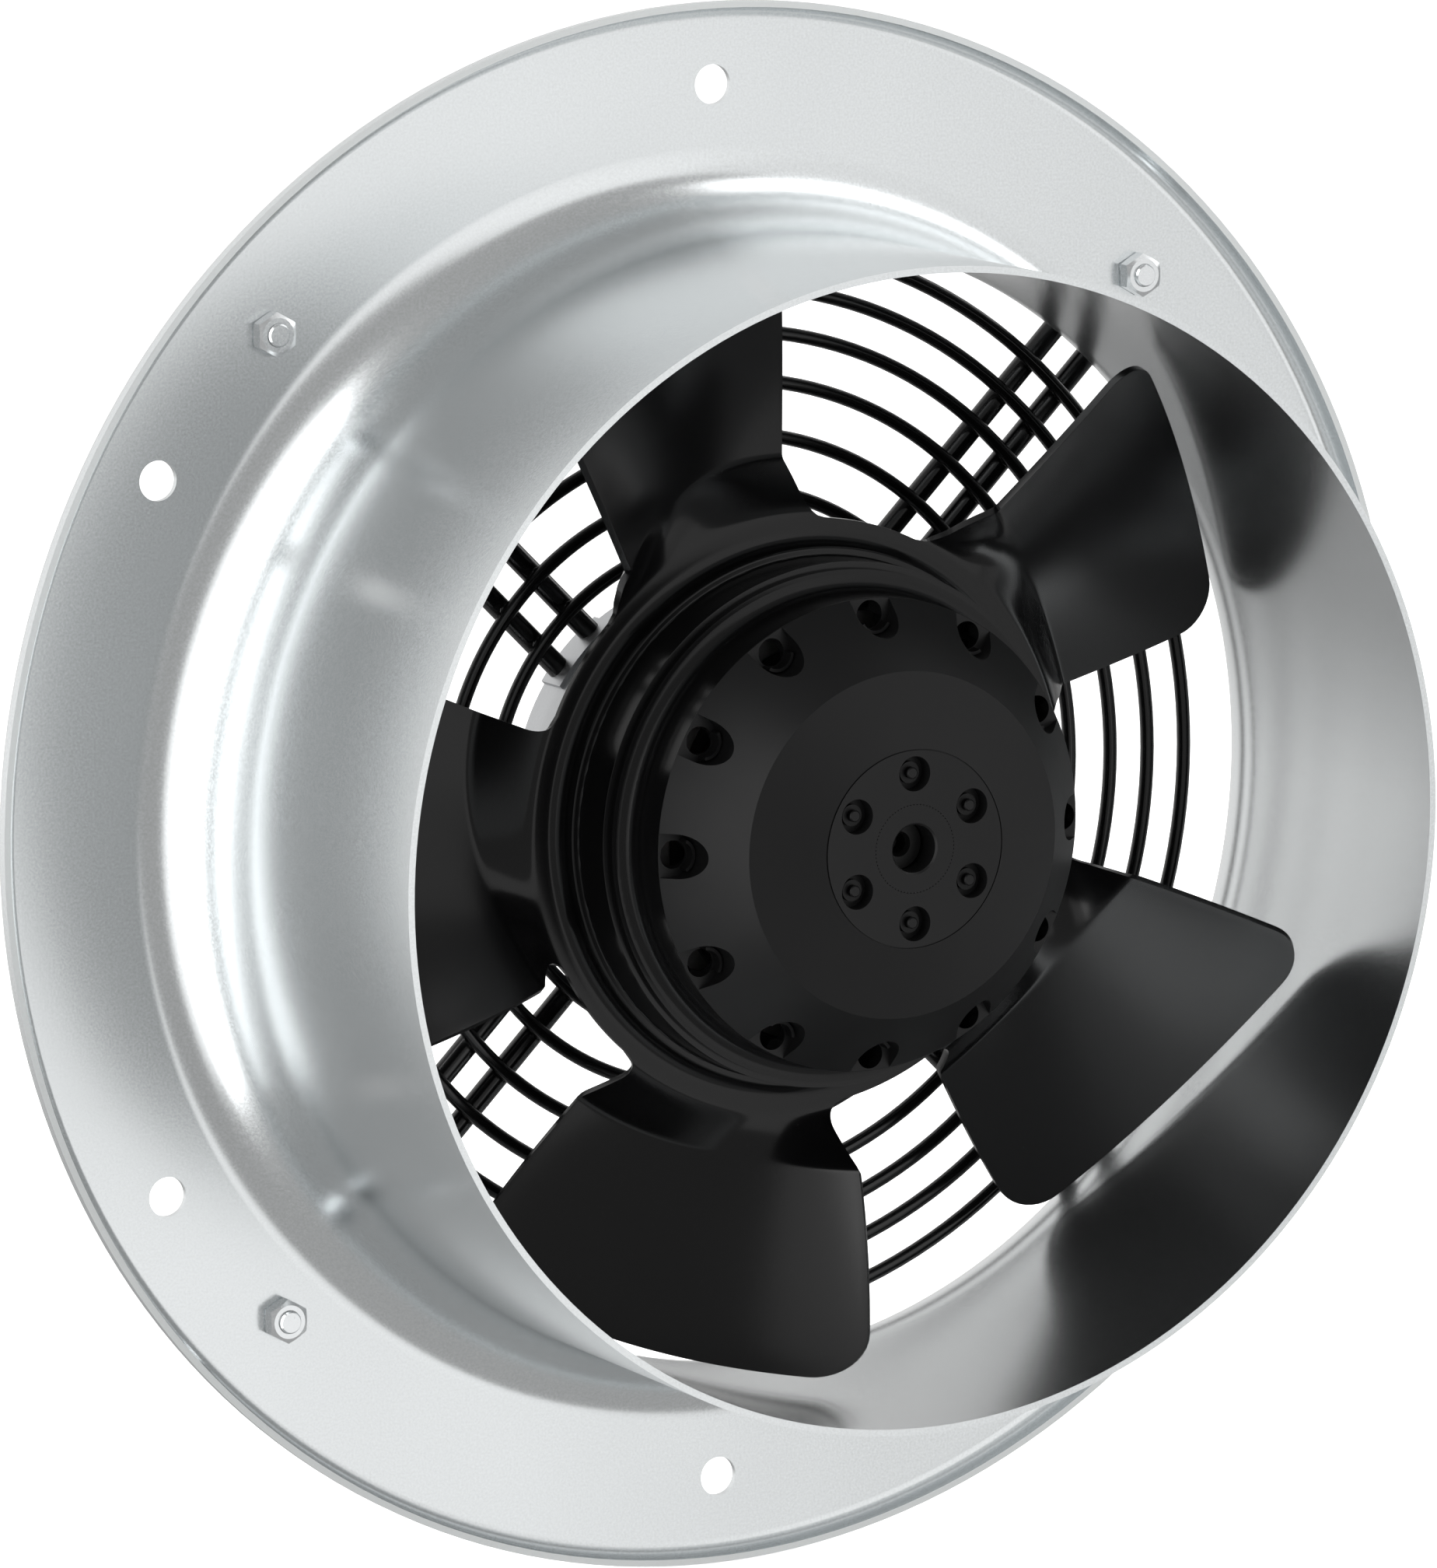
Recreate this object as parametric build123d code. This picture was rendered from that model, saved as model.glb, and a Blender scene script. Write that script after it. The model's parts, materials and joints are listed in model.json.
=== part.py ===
from build123d import *
import math
import os

# Axial wall fan with a full sheet steel nozzle ring, a wire guard and an external rotor motor.
# Millimetres. X is right, Z is up and the fan axis is Y. The outlet mouth is toward -Y and
# the guard is toward +Y. Y = 0 is the outlet side of the wall flange, where the wall bolts seat.

os.makedirs("parts", exist_ok=True)

# Nozzle ring: one pressed sheet
sheet_t = 1.5
throat_r = 127.5
nozzle_reach = 100.6
bell_spread = 17.0
bell_reach = 27.0
flange_width = 33.0
collar_height = 4.8
collar_bend_r = 3.2
wall_hole_count = 6
wall_hole_offset = 14.0
wall_hole_r = 4.5
bell_r = throat_r + sheet_t + bell_spread
flange_r = bell_r + flange_width
wall_hole_pcd = 2.0 * (bell_r + wall_hole_offset)

# Guard: four hairpin arms behind the flange and seven rings welded on them
arm_count = 4
arm_wire_r = 2.6
arm_half_pitch = 5.5
guard_bolt_offset = 10.6
guard_bolt_circle_r = bell_r + guard_bolt_offset
ring_wire_r = 1.6
ring_weld_depth = 0.15
inner_ring_gap = 9.4
outer_ring_gap = 3.4
# Place of the rings between the innermost at 0 and the outermost at 1
ring_2_place = 0.1729
ring_3_place = 0.3577
ring_4_place = 0.5395
ring_5_place = 0.7034
ring_6_place = 0.8525

# Guard fasteners
bolt_r = 2.6
bolt_hole_gap = 0.3
nut_across_flats = 8.8
nut_height = 3.9
bolt_end_chamfer = 0.4
washer_r = 8.6
washer_t = 1.2
bolt_head_height = 3.6
hex_chamfer = 0.5

# Stator housing: a shallow die-cast drum with a bearing tube
drum_r = 47.6
drum_front_y = -23.0
drum_rear_y = 7.4
drum_wall = 3.1
web_front_y = -17.0
web_t = 4.0
socket_depth = 5.0
pad_half_width = 9.6
pad_rise = 1.0
tube_wall = 3.0
tube_front_y = -72.0
stop_gap = 1.6
bearing_seat_stop = 1.2
chamber_boss_r = 22.0

# Ball bearings, two alike, on the shaft
shaft_r = 6.0
bearing_r = 16.0
bearing_bore_r = shaft_r
tube_r = bearing_r + tube_wall
bearing_width = 10.0
bearing_ring_t = 2.9
ball_r = 2.9
ball_count = 8
ball_gap = 0.08
cage_t = 1.2
cage_width = 5.6
front_bearing_y = -71.0
rear_bearing_y = -25.0

# Rotor and stator stack
rotor_r = 57.5
pot_wall = 3.7
lamination_width = 9.8
stack_front_y = -56.5
stack_rear_y = -30.0
air_gap = 0.6
stator_r = rotor_r - pot_wall - lamination_width - air_gap
slot_count = 24
slot_half_width = 2.0
slot_floor_width = 8.0
slot_tip_width = 3.4
slot_inner_r = tube_r + slot_floor_width
slot_outer_r = stator_r - slot_tip_width
slot_mouth_half = 0.9
overhang = 9.0
overhang_inner_r = tube_r + 5.0
overhang_outer_r = slot_outer_r + 0.6
overhang_round = 2.6
insulation_t = 0.8

# Rotor pot
nose_y = -91.1
nose_flat_r = 21.9
disc_y = -86.0
dome_y = -70.85
dome_width = 14.3
shoulder_width = 4.6
shoulder_y = -58.1
shoulder_fillet = 3.6
rotor_rear_y = -26.0
pot_front_wall = 4.0
cap_r = rotor_r - shoulder_width
disc_r = cap_r - dome_width
hub_boss_r = 14.0
hub_boss_rear_y = -75.0
scoop_count = 12
scoop_inset = 3.0
scoop_circle_r = cap_r - scoop_inset
scoop_half_width = 4.95
scoop_floor_y = -70.95
scoop_hole_circle_r = scoop_circle_r - 0.6
scoop_hole_r = 3.15
scoop_hole_depth = 8.0
scoop_fin_r = 3.3
scoop_fin_t = 0.7
scoop_fin_height = 3.0
scoop_fin_half_angle = 62.0
pocket_count = 6
pocket_circle_r = 16.65
pocket_r = 3.9
pocket_depth = 3.6
pin_r = 1.3
pin_collar_r = 2.4
pin_collar_t = 1.2
pin_recess = 0.9

# Rotor laminations and cast cage
cage_ring_t = 4.0
cage_ring_width = 5.2
cage_ring_r = stator_r + cage_ring_width
cage_bar_count = 30
cage_bar_r = 1.7
cage_bar_inset = 3.6
cage_bar_circle_r = stator_r + cage_bar_inset

# Shaft and its knurled bush
shaft_front_y = -84.0
shaft_rear_y = -9.0
centre_hole_r = 2.2
centre_hole_depth = 5.0
bush_r = 9.9
bush_bore_r = shaft_r - 0.65
bush_rear_y = -77.0
knurl_count = 75
knurl_depth = 0.35
knurl_band_depth = 0.6
circlip_t = 1.2
circlip_rise = 2.2
circlip_groove = 0.5
spring_t = 1.0
spring_wave = 0.6
spring_gap = 0.3
spring_width = 2.3

# Impeller: five pressed blades on a stepped hub ring
blade_count = 5
blade_phase = -37.0
tip_gap = 3.0
tip_r = throat_r - tip_gap
blade_t = 1.7
tip_corner_r = 10.5
collar_lip_y = -56.6
step_y = -45.6
step_width = 3.4
step_r = rotor_r + step_width
ring_face_y = -39.8
ring_face_fillet = 3.0
ring_face_width = 5.8
hub_ring_r = step_r + ring_face_width
rim_band = 2.1
root_fillet_r = 5.0
root_blend_inset = 0.5
root_blend_length = 16.8
root_blend_start_r = hub_ring_r - root_blend_inset
root_blend_end_r = root_blend_start_r + root_blend_length
near_edge_lead = 21.9
near_edge_sweep = -2.75
near_edge_bow = 0.5
far_edge_lag = 19.8
far_edge_sweep = -0.8
far_edge_bow = 1.0
# Place of a blade's edges along the fan axis at the reference radius, and its change outwards
near_edge_y = -60.6
near_edge_rise = -9.7
near_edge_curve = 3.45
far_edge_y = -23.75
far_edge_rise = 4.8
far_edge_curve = -1.4
# Hollow of a blade between its edges
blade_camber = -6.6
blade_camber_rise = -1.5
blade_ref_r = 93.5
blade_ref_span = 34.0
blade_ref_turn = 20.0

# Connection chamber parts
cover_t = 2.0
cover_inset = 3.6
cover_r = drum_r - cover_inset
gasket_t = 0.8
cover_rim = 8.0
chamber_r = cover_r - cover_rim
cover_rib_r = 30.0
cover_rib_t = 1.6
cover_rib_height = 0.9
cover_screw_count = 4
cover_screw_inset = 3.8
cover_screw_circle_r = cover_r - cover_screw_inset
cover_screw_r = 1.5
cover_screw_head_r = 2.9
cover_screw_head_t = 2.0
cover_screw_length = 7.0
gland_z = -17.0
gland_hole_r = 8.0
gland_body_r = 7.9
gland_flats = 20.0
gland_flange_t = 4.5
gland_neck_t = 6.0
gland_inner_reach = 5.0
gland_cap_flats = 19.0
gland_cap_t = 9.0
gland_cap_taper = 3.0
gland_entry_r = 4.0
gland_seal_r = 6.2
gland_wall = 1.5
locknut_flats = 21.0
locknut_t = 2.6
block_width = 18.0
block_height = 9.0
block_depth = 8.5
block_z = 17.0
block_ways = 3
block_hole_r = 1.7
block_screw_head_r = 1.5

hex_ratio = 1.0 / math.cos(math.radians(30.0))


def turned(points):
    # A ring turned about the fan axis from a closed outline given as radius and Y
    return revolve(make_face(Polyline(*points, close=True)), Axis.Y, 360.0)


def tube(r_out, r_in, y0, y1):
    return turned([(r_in, y0), (r_out, y0), (r_out, y1), (r_in, y1)])


def rod(r, y0, y1):
    # A solid bar on the fan axis
    return Pos(0, (y0 + y1) / 2.0, 0) * Rot(90, 0, 0) * Cylinder(r, y1 - y0)


def at_angle(shape, degrees):
    # Turn about the fan axis, counted from +X toward +Z
    return Rot(0, -degrees, 0) * shape


def around(shape, count, start=0.0):
    return [at_angle(shape, start + 360.0 * k / count) for k in range(count)]


def hex_prism(across_flats, y0, y1, corner_up=True):
    turn = 30.0 if corner_up else 0.0
    flat = RegularPolygon(across_flats / 2.0 * hex_ratio, 6, rotation=turn)
    return Pos(0, y1, 0) * (Plane.XZ * extrude(flat, y1 - y0))


def save(shapes, name):
    if isinstance(shapes, (list, tuple)):
        solids = []
        for item in shapes:
            solids.extend(item.solids())
        shape = solids[0] if len(solids) == 1 else Compound(children=solids)
    else:
        solids = shapes.solids()
        shape = solids[0] if len(solids) == 1 else Compound(children=list(solids))
    shape.label = name
    export_step(shape, "parts/" + name + ".step")


def nozzle_ring():
    bell_y = -bell_reach
    outer_wall = Line((throat_r + sheet_t, -nozzle_reach), (throat_r + sheet_t, bell_y))
    front_bell = EllipticalCenterArc((bell_r, bell_y), bell_spread, bell_reach, 90, arc_size=90)
    inside_r = flange_r - sheet_t
    bend_in = collar_bend_r - sheet_t
    front_face = Line((bell_r, 0), (inside_r - bend_in, 0))
    bend_front = CenterArc((inside_r - bend_in, -bend_in), bend_in, 0, 90)
    collar_in = Line((inside_r, -bend_in), (inside_r, -collar_height))
    collar_edge = Line((inside_r, -collar_height), (flange_r, -collar_height))
    collar_out = Line((flange_r, -collar_height), (flange_r, -bend_in))
    bend_back = CenterArc((inside_r - bend_in, -bend_in), collar_bend_r, 0, 90)
    back_face = Line((inside_r - bend_in, sheet_t), (bell_r, sheet_t))
    back_x = bell_spread + sheet_t
    back_bell = EllipticalCenterArc((bell_r, bell_y), back_x, bell_reach + sheet_t, 90, arc_size=90)
    inner_wall = Line((throat_r, bell_y), (throat_r, -nozzle_reach))
    lip = Line((throat_r, -nozzle_reach), (throat_r + sheet_t, -nozzle_reach))
    outline = outer_wall + front_bell + front_face + bend_front + collar_in + collar_edge
    outline = outline + collar_out + bend_back + back_face + back_bell + inner_wall + lip
    ring = revolve(make_face(outline), Axis.Y, 360.0)
    wall_hole = Pos(wall_hole_pcd / 2.0, 0, 0) * Rot(90, 0, 0) * Cylinder(wall_hole_r, 12)
    ring = ring - around(wall_hole, wall_hole_count, 90.0)
    bolt_hole = Pos(guard_bolt_circle_r, 0, 0) * Rot(90, 0, 0) * Cylinder(bolt_r + bolt_hole_gap, 12)
    return ring - around(bolt_hole, arm_count, 45.0)


def arm_y():
    return sheet_t + arm_wire_r


def guard_ring(r):
    y = sheet_t - ring_wire_r + ring_weld_depth
    return Pos(0, y, 0) * Rot(90, 0, 0) * Torus(r, ring_wire_r)


def guard_arm():
    # A hairpin whose bend goes round the guard bolt and whose two ends sit in the drum
    y = arm_y()
    r_in = drum_r - socket_depth
    side = arm_half_pitch
    r_bolt = guard_bolt_circle_r
    out = Line((r_in, y, side), (r_bolt, y, side))
    bend = ThreePointArc((r_bolt, y, side), (r_bolt + side, y, 0), (r_bolt, y, -side))
    back = Line((r_bolt, y, -side), (r_in, y, -side))
    section = Plane(origin=out @ 0, z_dir=out % 0) * Circle(arm_wire_r)
    return sweep(section, path=out + bend + back)


def guard_bolt():
    head_y = arm_y() + arm_wire_r + washer_t
    head = hex_prism(nut_across_flats, head_y, head_y + bolt_head_height)
    head_cone = rod(nut_across_flats / 2.0 * hex_ratio, head_y, head_y + bolt_head_height)
    head = head & chamfer(head_cone.edges().group_by(Axis.Y)[-1], hex_chamfer)
    shank = rod(bolt_r, -collar_height, head_y + 0.1)
    shank = chamfer(shank.edges().group_by(Axis.Y)[0], bolt_end_chamfer)
    return Pos(guard_bolt_circle_r, 0, 0) * (head + shank)


def guard_washer():
    y = arm_y() + arm_wire_r
    return Pos(guard_bolt_circle_r, 0, 0) * tube(washer_r, bolt_r + 0.2, y, y + washer_t)


def guard_nut():
    body = hex_prism(nut_across_flats, -nut_height, 0)
    cone = rod(nut_across_flats / 2.0 * hex_ratio, -nut_height, 0)
    cone = chamfer(cone.edges(), hex_chamfer)
    nut = (body & cone) - rod(bolt_r, -nut_height - 1, 1)
    return Pos(guard_bolt_circle_r, 0, 0) * nut


def on_arm_line(shape, k):
    # Turn to an arm's direction while keeping a nut's corners pointing up
    angle = 45.0 + 360.0 * k / arm_count
    return at_angle(shape, angle)


def upright_at_bolt(shape, k):
    angle = math.radians(45.0 + 360.0 * k / arm_count)
    dx = guard_bolt_circle_r * (math.cos(angle) - 1.0)
    return Pos(dx, 0, guard_bolt_circle_r * math.sin(angle)) * shape


def stator_housing():
    seat_r = bearing_r
    drum = turned([
        (drum_r, drum_front_y), (drum_r, drum_rear_y), (chamber_r, drum_rear_y),
        (chamber_r, web_front_y + web_t), (seat_r, web_front_y + web_t),
        (seat_r, web_front_y - 1), (tube_r + 2, web_front_y - 1), (tube_r + 4, web_front_y),
        (drum_r - drum_wall, web_front_y), (drum_r - drum_wall, drum_front_y),
    ])
    stop_y = front_bearing_y + bearing_width
    stem = tube(tube_r, seat_r, tube_front_y, web_front_y)
    stop = tube(seat_r + 0.5, seat_r - bearing_seat_stop, stop_y, rear_bearing_y - stop_gap)
    pad = Box(2 * (drum_r + pad_rise), drum_rear_y + 1.5, 2 * pad_half_width)
    pad = Pos(0, (drum_rear_y - 1.5) / 2.0, 0) * pad
    keep = tube(drum_r + pad_rise, drum_r - 2, -1.5, drum_rear_y)
    pads = (pad + Rot(0, 90, 0) * pad) & keep
    housing = drum + stem + stop + Rot(0, 45, 0) * pads
    y = arm_y()
    bore_len = socket_depth + pad_rise + 1
    bore = Rot(0, 90, 0) * Cylinder(arm_wire_r, bore_len)
    mid = drum_r - socket_depth + bore_len / 2.0
    pair = [Pos(mid, y, arm_half_pitch) * bore, Pos(mid, y, -arm_half_pitch) * bore]
    for k in range(arm_count):
        for one in pair:
            housing = housing - on_arm_line(one, k)
    screw = Pos(cover_screw_circle_r, 0, 0) * rod(cover_screw_r, drum_rear_y - cover_screw_length, 12)
    housing = housing - around(screw, cover_screw_count)
    lead_slot = Pos(0, web_front_y + 2, 28) * Box(12, 9, 5)
    return housing - lead_slot


def rear_cover():
    y0 = drum_rear_y + gasket_t
    plate = fillet(rod(cover_r, y0, y0 + cover_t).edges().group_by(Axis.Y)[-1], 0.8)
    rib_y = y0 + cover_t + cover_rib_height
    rib = tube(cover_rib_r, cover_rib_r - cover_rib_t, y0 + cover_t - 0.1, rib_y)
    cover = plate + rib
    hole = Pos(cover_screw_circle_r, 0, 0) * rod(cover_screw_r + 0.2, y0 - 1, y0 + 4)
    cover = cover - around(hole, cover_screw_count)
    boss = Pos(0, 0, gland_z) * rod(gland_flats / 2.0 + 2.6, y0 + cover_t - 0.1, rib_y)
    cover = cover + boss
    return cover - Pos(0, 0, gland_z) * rod(gland_hole_r, y0 - 1, y0 + 6)


def cover_gasket():
    ring = tube(cover_r - 0.6, chamber_r, drum_rear_y, drum_rear_y + gasket_t)
    hole = Pos(cover_screw_circle_r, 0, 0) * rod(cover_screw_r + 0.2, drum_rear_y - 1, drum_rear_y + 3)
    return ring - around(hole, cover_screw_count)


def cover_screw():
    y0 = drum_rear_y + gasket_t + cover_t
    head = fillet(rod(cover_screw_head_r, y0, y0 + cover_screw_head_t).edges().group_by(Axis.Y)[-1], 0.7)
    shank = rod(cover_screw_r, drum_rear_y - cover_screw_length + 0.5, y0 + 0.1)
    slot = Pos(0, y0 + cover_screw_head_t, 0) * Box(0.8, 1.6, 3.2)
    cross = Pos(0, y0 + cover_screw_head_t, 0) * Box(3.2, 1.6, 0.8)
    return Pos(cover_screw_circle_r, 0, 0) * (head + shank - slot - cross)


def gland_seat_y():
    return drum_rear_y + gasket_t + cover_t + cover_rib_height


def gland_body():
    y0 = gland_seat_y()
    inner_y = drum_rear_y + gasket_t - gland_inner_reach
    flange = hex_prism(gland_flats, y0, y0 + gland_flange_t)
    neck = rod(gland_body_r, y0 + gland_flange_t - 0.1, y0 + gland_flange_t + gland_neck_t)
    stem = rod(gland_body_r, inner_y, y0 + 0.1)
    body = flange + neck + stem
    body = body - rod(gland_seal_r, inner_y - 1, y0 + gland_flange_t + gland_neck_t + 1)
    return Pos(0, 0, gland_z) * body


def gland_cap():
    y0 = gland_seat_y() + gland_flange_t + 0.4
    r = gland_cap_flats / 2.0 * hex_ratio
    y1 = y0 + gland_cap_t
    blank = turned([(0, y0), (r, y0), (r, y1 - gland_cap_taper), (gland_entry_r + 2.2, y1), (0, y1)])
    cap = hex_prism(gland_cap_flats, y0, y1) & blank
    hollow_y = gland_seat_y() + gland_flange_t + gland_neck_t
    cap = cap - rod(gland_body_r, y0 - 1, hollow_y) - rod(gland_entry_r, y0 - 1, y1 + 1)
    return Pos(0, 0, gland_z) * cap


def gland_seal():
    y0 = gland_seat_y()
    y1 = gland_seat_y() + gland_flange_t + gland_neck_t
    return Pos(0, 0, gland_z) * tube(gland_seal_r, gland_entry_r - 0.4, y0, y1)


def gland_locknut():
    y1 = drum_rear_y + gasket_t
    nut = hex_prism(locknut_flats, y1 - locknut_t, y1) - rod(gland_body_r, y1 - 8, y1 + 1)
    return Pos(0, 0, gland_z) * nut


def terminal_block():
    y0 = web_front_y + web_t
    base = Pos(0, y0 + block_depth / 2.0, block_z) * Box(block_width, block_depth, block_height)
    pitch = block_width / block_ways
    for k in range(block_ways):
        x = (k - (block_ways - 1) / 2.0) * pitch
        well = Pos(x, 0, block_z) * rod(block_screw_head_r + 0.4, y0 + block_depth - 3, y0 + block_depth + 1)
        entry = Pos(x, y0 + 3, block_z) * Cylinder(block_hole_r, block_height + 4)
        base = base - well - entry
    return base


def terminal_screws():
    y1 = web_front_y + web_t + block_depth
    pitch = block_width / block_ways
    screws = []
    for k in range(block_ways):
        x = (k - (block_ways - 1) / 2.0) * pitch
        head = Pos(x, 0, block_z) * rod(block_screw_head_r, y1 - 3, y1 - 1)
        slot = Pos(x, y1 - 1, block_z) * Box(0.5, 1.2, 2.4)
        screws.append(head - slot)
    return screws


def stator_core():
    core = tube(stator_r, tube_r, stack_front_y, stack_rear_y)
    depth = stack_rear_y - stack_front_y + 2
    mid_y = (stack_front_y + stack_rear_y) / 2.0
    slot_len = slot_outer_r - slot_inner_r
    slot = Pos((slot_inner_r + slot_outer_r) / 2.0, mid_y, 0) * Box(slot_len, depth, 2 * slot_half_width)
    mouth = Pos(stator_r, mid_y, 0) * Box(10, depth, 2 * slot_mouth_half)
    return core - around(slot + mouth, slot_count)


def winding():
    depth = stack_rear_y - stack_front_y
    mid_y = (stack_front_y + stack_rear_y) / 2.0
    wide = slot_half_width - 0.25
    bar = Pos((slot_inner_r + slot_outer_r) / 2.0, mid_y, 0)
    bar = bar * Box(slot_outer_r - slot_inner_r - 0.6, depth + 2, 2 * wide)
    front_y = stack_front_y - insulation_t
    rear_y = stack_rear_y + insulation_t
    front = end_turns(front_y - overhang, front_y)
    rear = end_turns(rear_y, rear_y + overhang - 0.6)
    return front + rear + around(bar, slot_count)


def end_turns(y0, y1):
    ring = tube(overhang_outer_r, overhang_inner_r, y0, y1)
    return fillet(ring.edges(), overhang_round)


def end_insulator(y0, y1):
    ring = tube(stator_r - 0.6, tube_r + 1.0, y0, y1)
    depth = y1 - y0 + 2
    slot_len = slot_outer_r - slot_inner_r
    slot = Pos((slot_inner_r + slot_outer_r) / 2.0, (y0 + y1) / 2.0, 0)
    slot = slot * Box(slot_len - 0.5, depth, 2 * slot_half_width - 0.4)
    return ring - around(slot, slot_count)


def end_insulators():
    front = end_insulator(stack_front_y - insulation_t, stack_front_y)
    rear = end_insulator(stack_rear_y, stack_rear_y + insulation_t)
    return [front, rear]


def ball_track(y0):
    pitch_r = (bearing_r + bearing_bore_r) / 2.0
    return Pos(0, y0 + bearing_width / 2.0, 0) * Rot(90, 0, 0) * Torus(pitch_r, ball_r + ball_gap)


def bearing_outer(y0):
    ring = tube(bearing_r, bearing_r - bearing_ring_t, y0, y0 + bearing_width)
    return ring - ball_track(y0)


def bearing_inner(y0):
    ring = tube(bearing_bore_r + bearing_ring_t, bearing_bore_r, y0, y0 + bearing_width)
    return ring - ball_track(y0)


def bearing_balls(y0):
    pitch_r = (bearing_r + bearing_bore_r) / 2.0
    ball = Pos(pitch_r, y0 + bearing_width / 2.0, 0) * Sphere(ball_r)
    return around(ball, ball_count)


def bearing_cage(y0):
    pitch_r = (bearing_r + bearing_bore_r) / 2.0
    mid = y0 + bearing_width / 2.0
    ring = tube(pitch_r + cage_t / 2.0, pitch_r - cage_t / 2.0, mid - cage_width / 2.0, mid + cage_width / 2.0)
    ball = Pos(pitch_r, mid, 0) * Sphere(ball_r)
    return ring - around(ball, ball_count)


def wave_spring():
    # A plain ring stands in for the preload wave washer behind the front bearing seat
    y1 = rear_bearing_y
    r_out = bearing_r - spring_gap
    return tube(r_out, r_out - spring_width, y1 - spring_t - spring_wave, y1)


def rotor_pot():
    wall = pot_wall
    cap_in = cap_r - pot_wall
    rear_in = rotor_r - pot_wall
    s_y = shoulder_y
    f = shoulder_fillet
    outline = Polyline(
        (bush_r, nose_y), (nose_flat_r, nose_y), (disc_r, disc_y), (cap_r, dome_y), (cap_r, s_y - f)
    )
    turn = CenterArc((cap_r + f, s_y - f), f, 90, 90)
    rest = Polyline(
        (cap_r + f, s_y), (rotor_r, s_y), (rotor_r, rotor_rear_y), (rear_in, rotor_rear_y),
        (rear_in, stack_front_y), (cap_in, stack_front_y), (cap_in, dome_y + 3.4),
        (disc_r - 2.2, disc_y + pot_front_wall + 1.6), (hub_boss_r + 3, nose_y + pot_front_wall + 2.2),
        (hub_boss_r, hub_boss_rear_y), (shaft_r + 1.0, hub_boss_rear_y), (shaft_r + 1.0, bush_rear_y),
        (bush_r, bush_rear_y), (bush_r, nose_y),
    )
    pot = revolve(make_face(outline + turn + rest), Axis.Y, 360.0)
    groove = tube(nose_flat_r + 0.25, nose_flat_r - 0.05, nose_y - 1, nose_y + 0.35)
    pot = pot - groove
    pot = pot - around(scoop_cut(), scoop_count)
    pot = pot + around(scoop_fin(), scoop_count)
    pocket = Pos(pocket_circle_r, 0, 0) * rod(pocket_r, nose_y - 1, nose_y + pocket_depth)
    return pot - around(pocket, pocket_count, 30.0)


def scoop_cut():
    front_y = disc_y - 1
    depth = scoop_floor_y - front_y
    mid_y = (scoop_floor_y + front_y) / 2.0
    bowl = Pos(scoop_circle_r, 0, 0) * rod(scoop_half_width, front_y, scoop_floor_y)
    run = Pos(scoop_circle_r + 5, mid_y, 0) * Box(10, depth, 2 * scoop_half_width)
    hole = Pos(scoop_hole_circle_r, 0, 0) * rod(scoop_hole_r, scoop_floor_y - 1, scoop_floor_y + scoop_hole_depth)
    return bowl + run + hole


def scoop_fin():
    y0 = scoop_floor_y - scoop_fin_height
    ring = tube(scoop_fin_r + scoop_fin_t, scoop_fin_r, y0, scoop_floor_y + 0.1)
    half = math.radians(scoop_fin_half_angle)
    reach = 20.0
    wedge = Plane.XZ * make_face(Polyline(
        (0, 0), (-reach * math.cos(half), reach * math.sin(half)),
        (-reach * math.cos(half), -reach * math.sin(half)), close=True
    ))
    wedge = Pos(0, y0 + 10, 0) * extrude(wedge, 20)
    return Pos(scoop_hole_circle_r, 0, 0) * (ring & wedge)


def rotor_pins():
    base_y = nose_y + pocket_depth
    pin = rod(pin_r, nose_y + pin_recess, base_y)
    pin = chamfer(pin.edges().group_by(Axis.Y)[0], 0.25)
    foot = rod(pin_collar_r, base_y - pin_collar_t, base_y)
    return around(Pos(pocket_circle_r, 0, 0) * (pin + foot), pocket_count, 30.0)


def shaft_bush():
    bush = tube(bush_r, shaft_r, nose_y, bush_rear_y)
    face = tube(shaft_r + 0.5, bush_bore_r, nose_y, shaft_front_y - 1.6)
    bush = bush + face
    bush = bush - turned([(0, nose_y - 0.1), (bush_bore_r + 0.5, nose_y - 0.1), (0, nose_y + bush_bore_r + 0.5)])
    tooth = Pos(bush_r, nose_y + knurl_band_depth / 2.0 - 0.1, 0) * Rot(0, 45, 0)
    tooth = tooth * Box(knurl_depth, knurl_band_depth + 0.2, knurl_depth)
    return bush - around(tooth, knurl_count)


def shaft():
    bar = rod(shaft_r, shaft_front_y, shaft_rear_y)
    bar = chamfer(bar.edges().group_by(Axis.Y)[0], 0.5)
    bar = chamfer(bar.edges().group_by(Axis.Y)[-1], 0.5)
    hole = turned([
        (0, shaft_front_y - 1), (centre_hole_r + 1.2, shaft_front_y - 1),
        (centre_hole_r, shaft_front_y + 1.2), (centre_hole_r, shaft_front_y + centre_hole_depth),
        (0, shaft_front_y + centre_hole_depth + 1.5),
    ])
    y0 = circlip_y()
    groove = tube(shaft_r + 1, shaft_r - circlip_groove, y0, y0 + circlip_t)
    return bar - hole - groove


def circlip_y():
    return rear_bearing_y + bearing_width + 0.2


def shaft_circlip():
    y0 = circlip_y()
    ring = tube(shaft_r + circlip_rise, shaft_r - circlip_groove, y0, y0 + circlip_t)
    gap = Pos(0, y0 + circlip_t / 2.0, -shaft_r) * Box(3.0, 3.0, 8.0)
    return ring - gap


def rotor_laminations():
    r_in = stator_r + air_gap
    core = tube(rotor_r - pot_wall, r_in, stack_front_y, stack_rear_y)
    bar = Pos(cage_bar_circle_r, 0, 0) * rod(cage_bar_r, stack_front_y - 1, stack_rear_y + 1)
    return core - around(bar, cage_bar_count)


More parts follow.
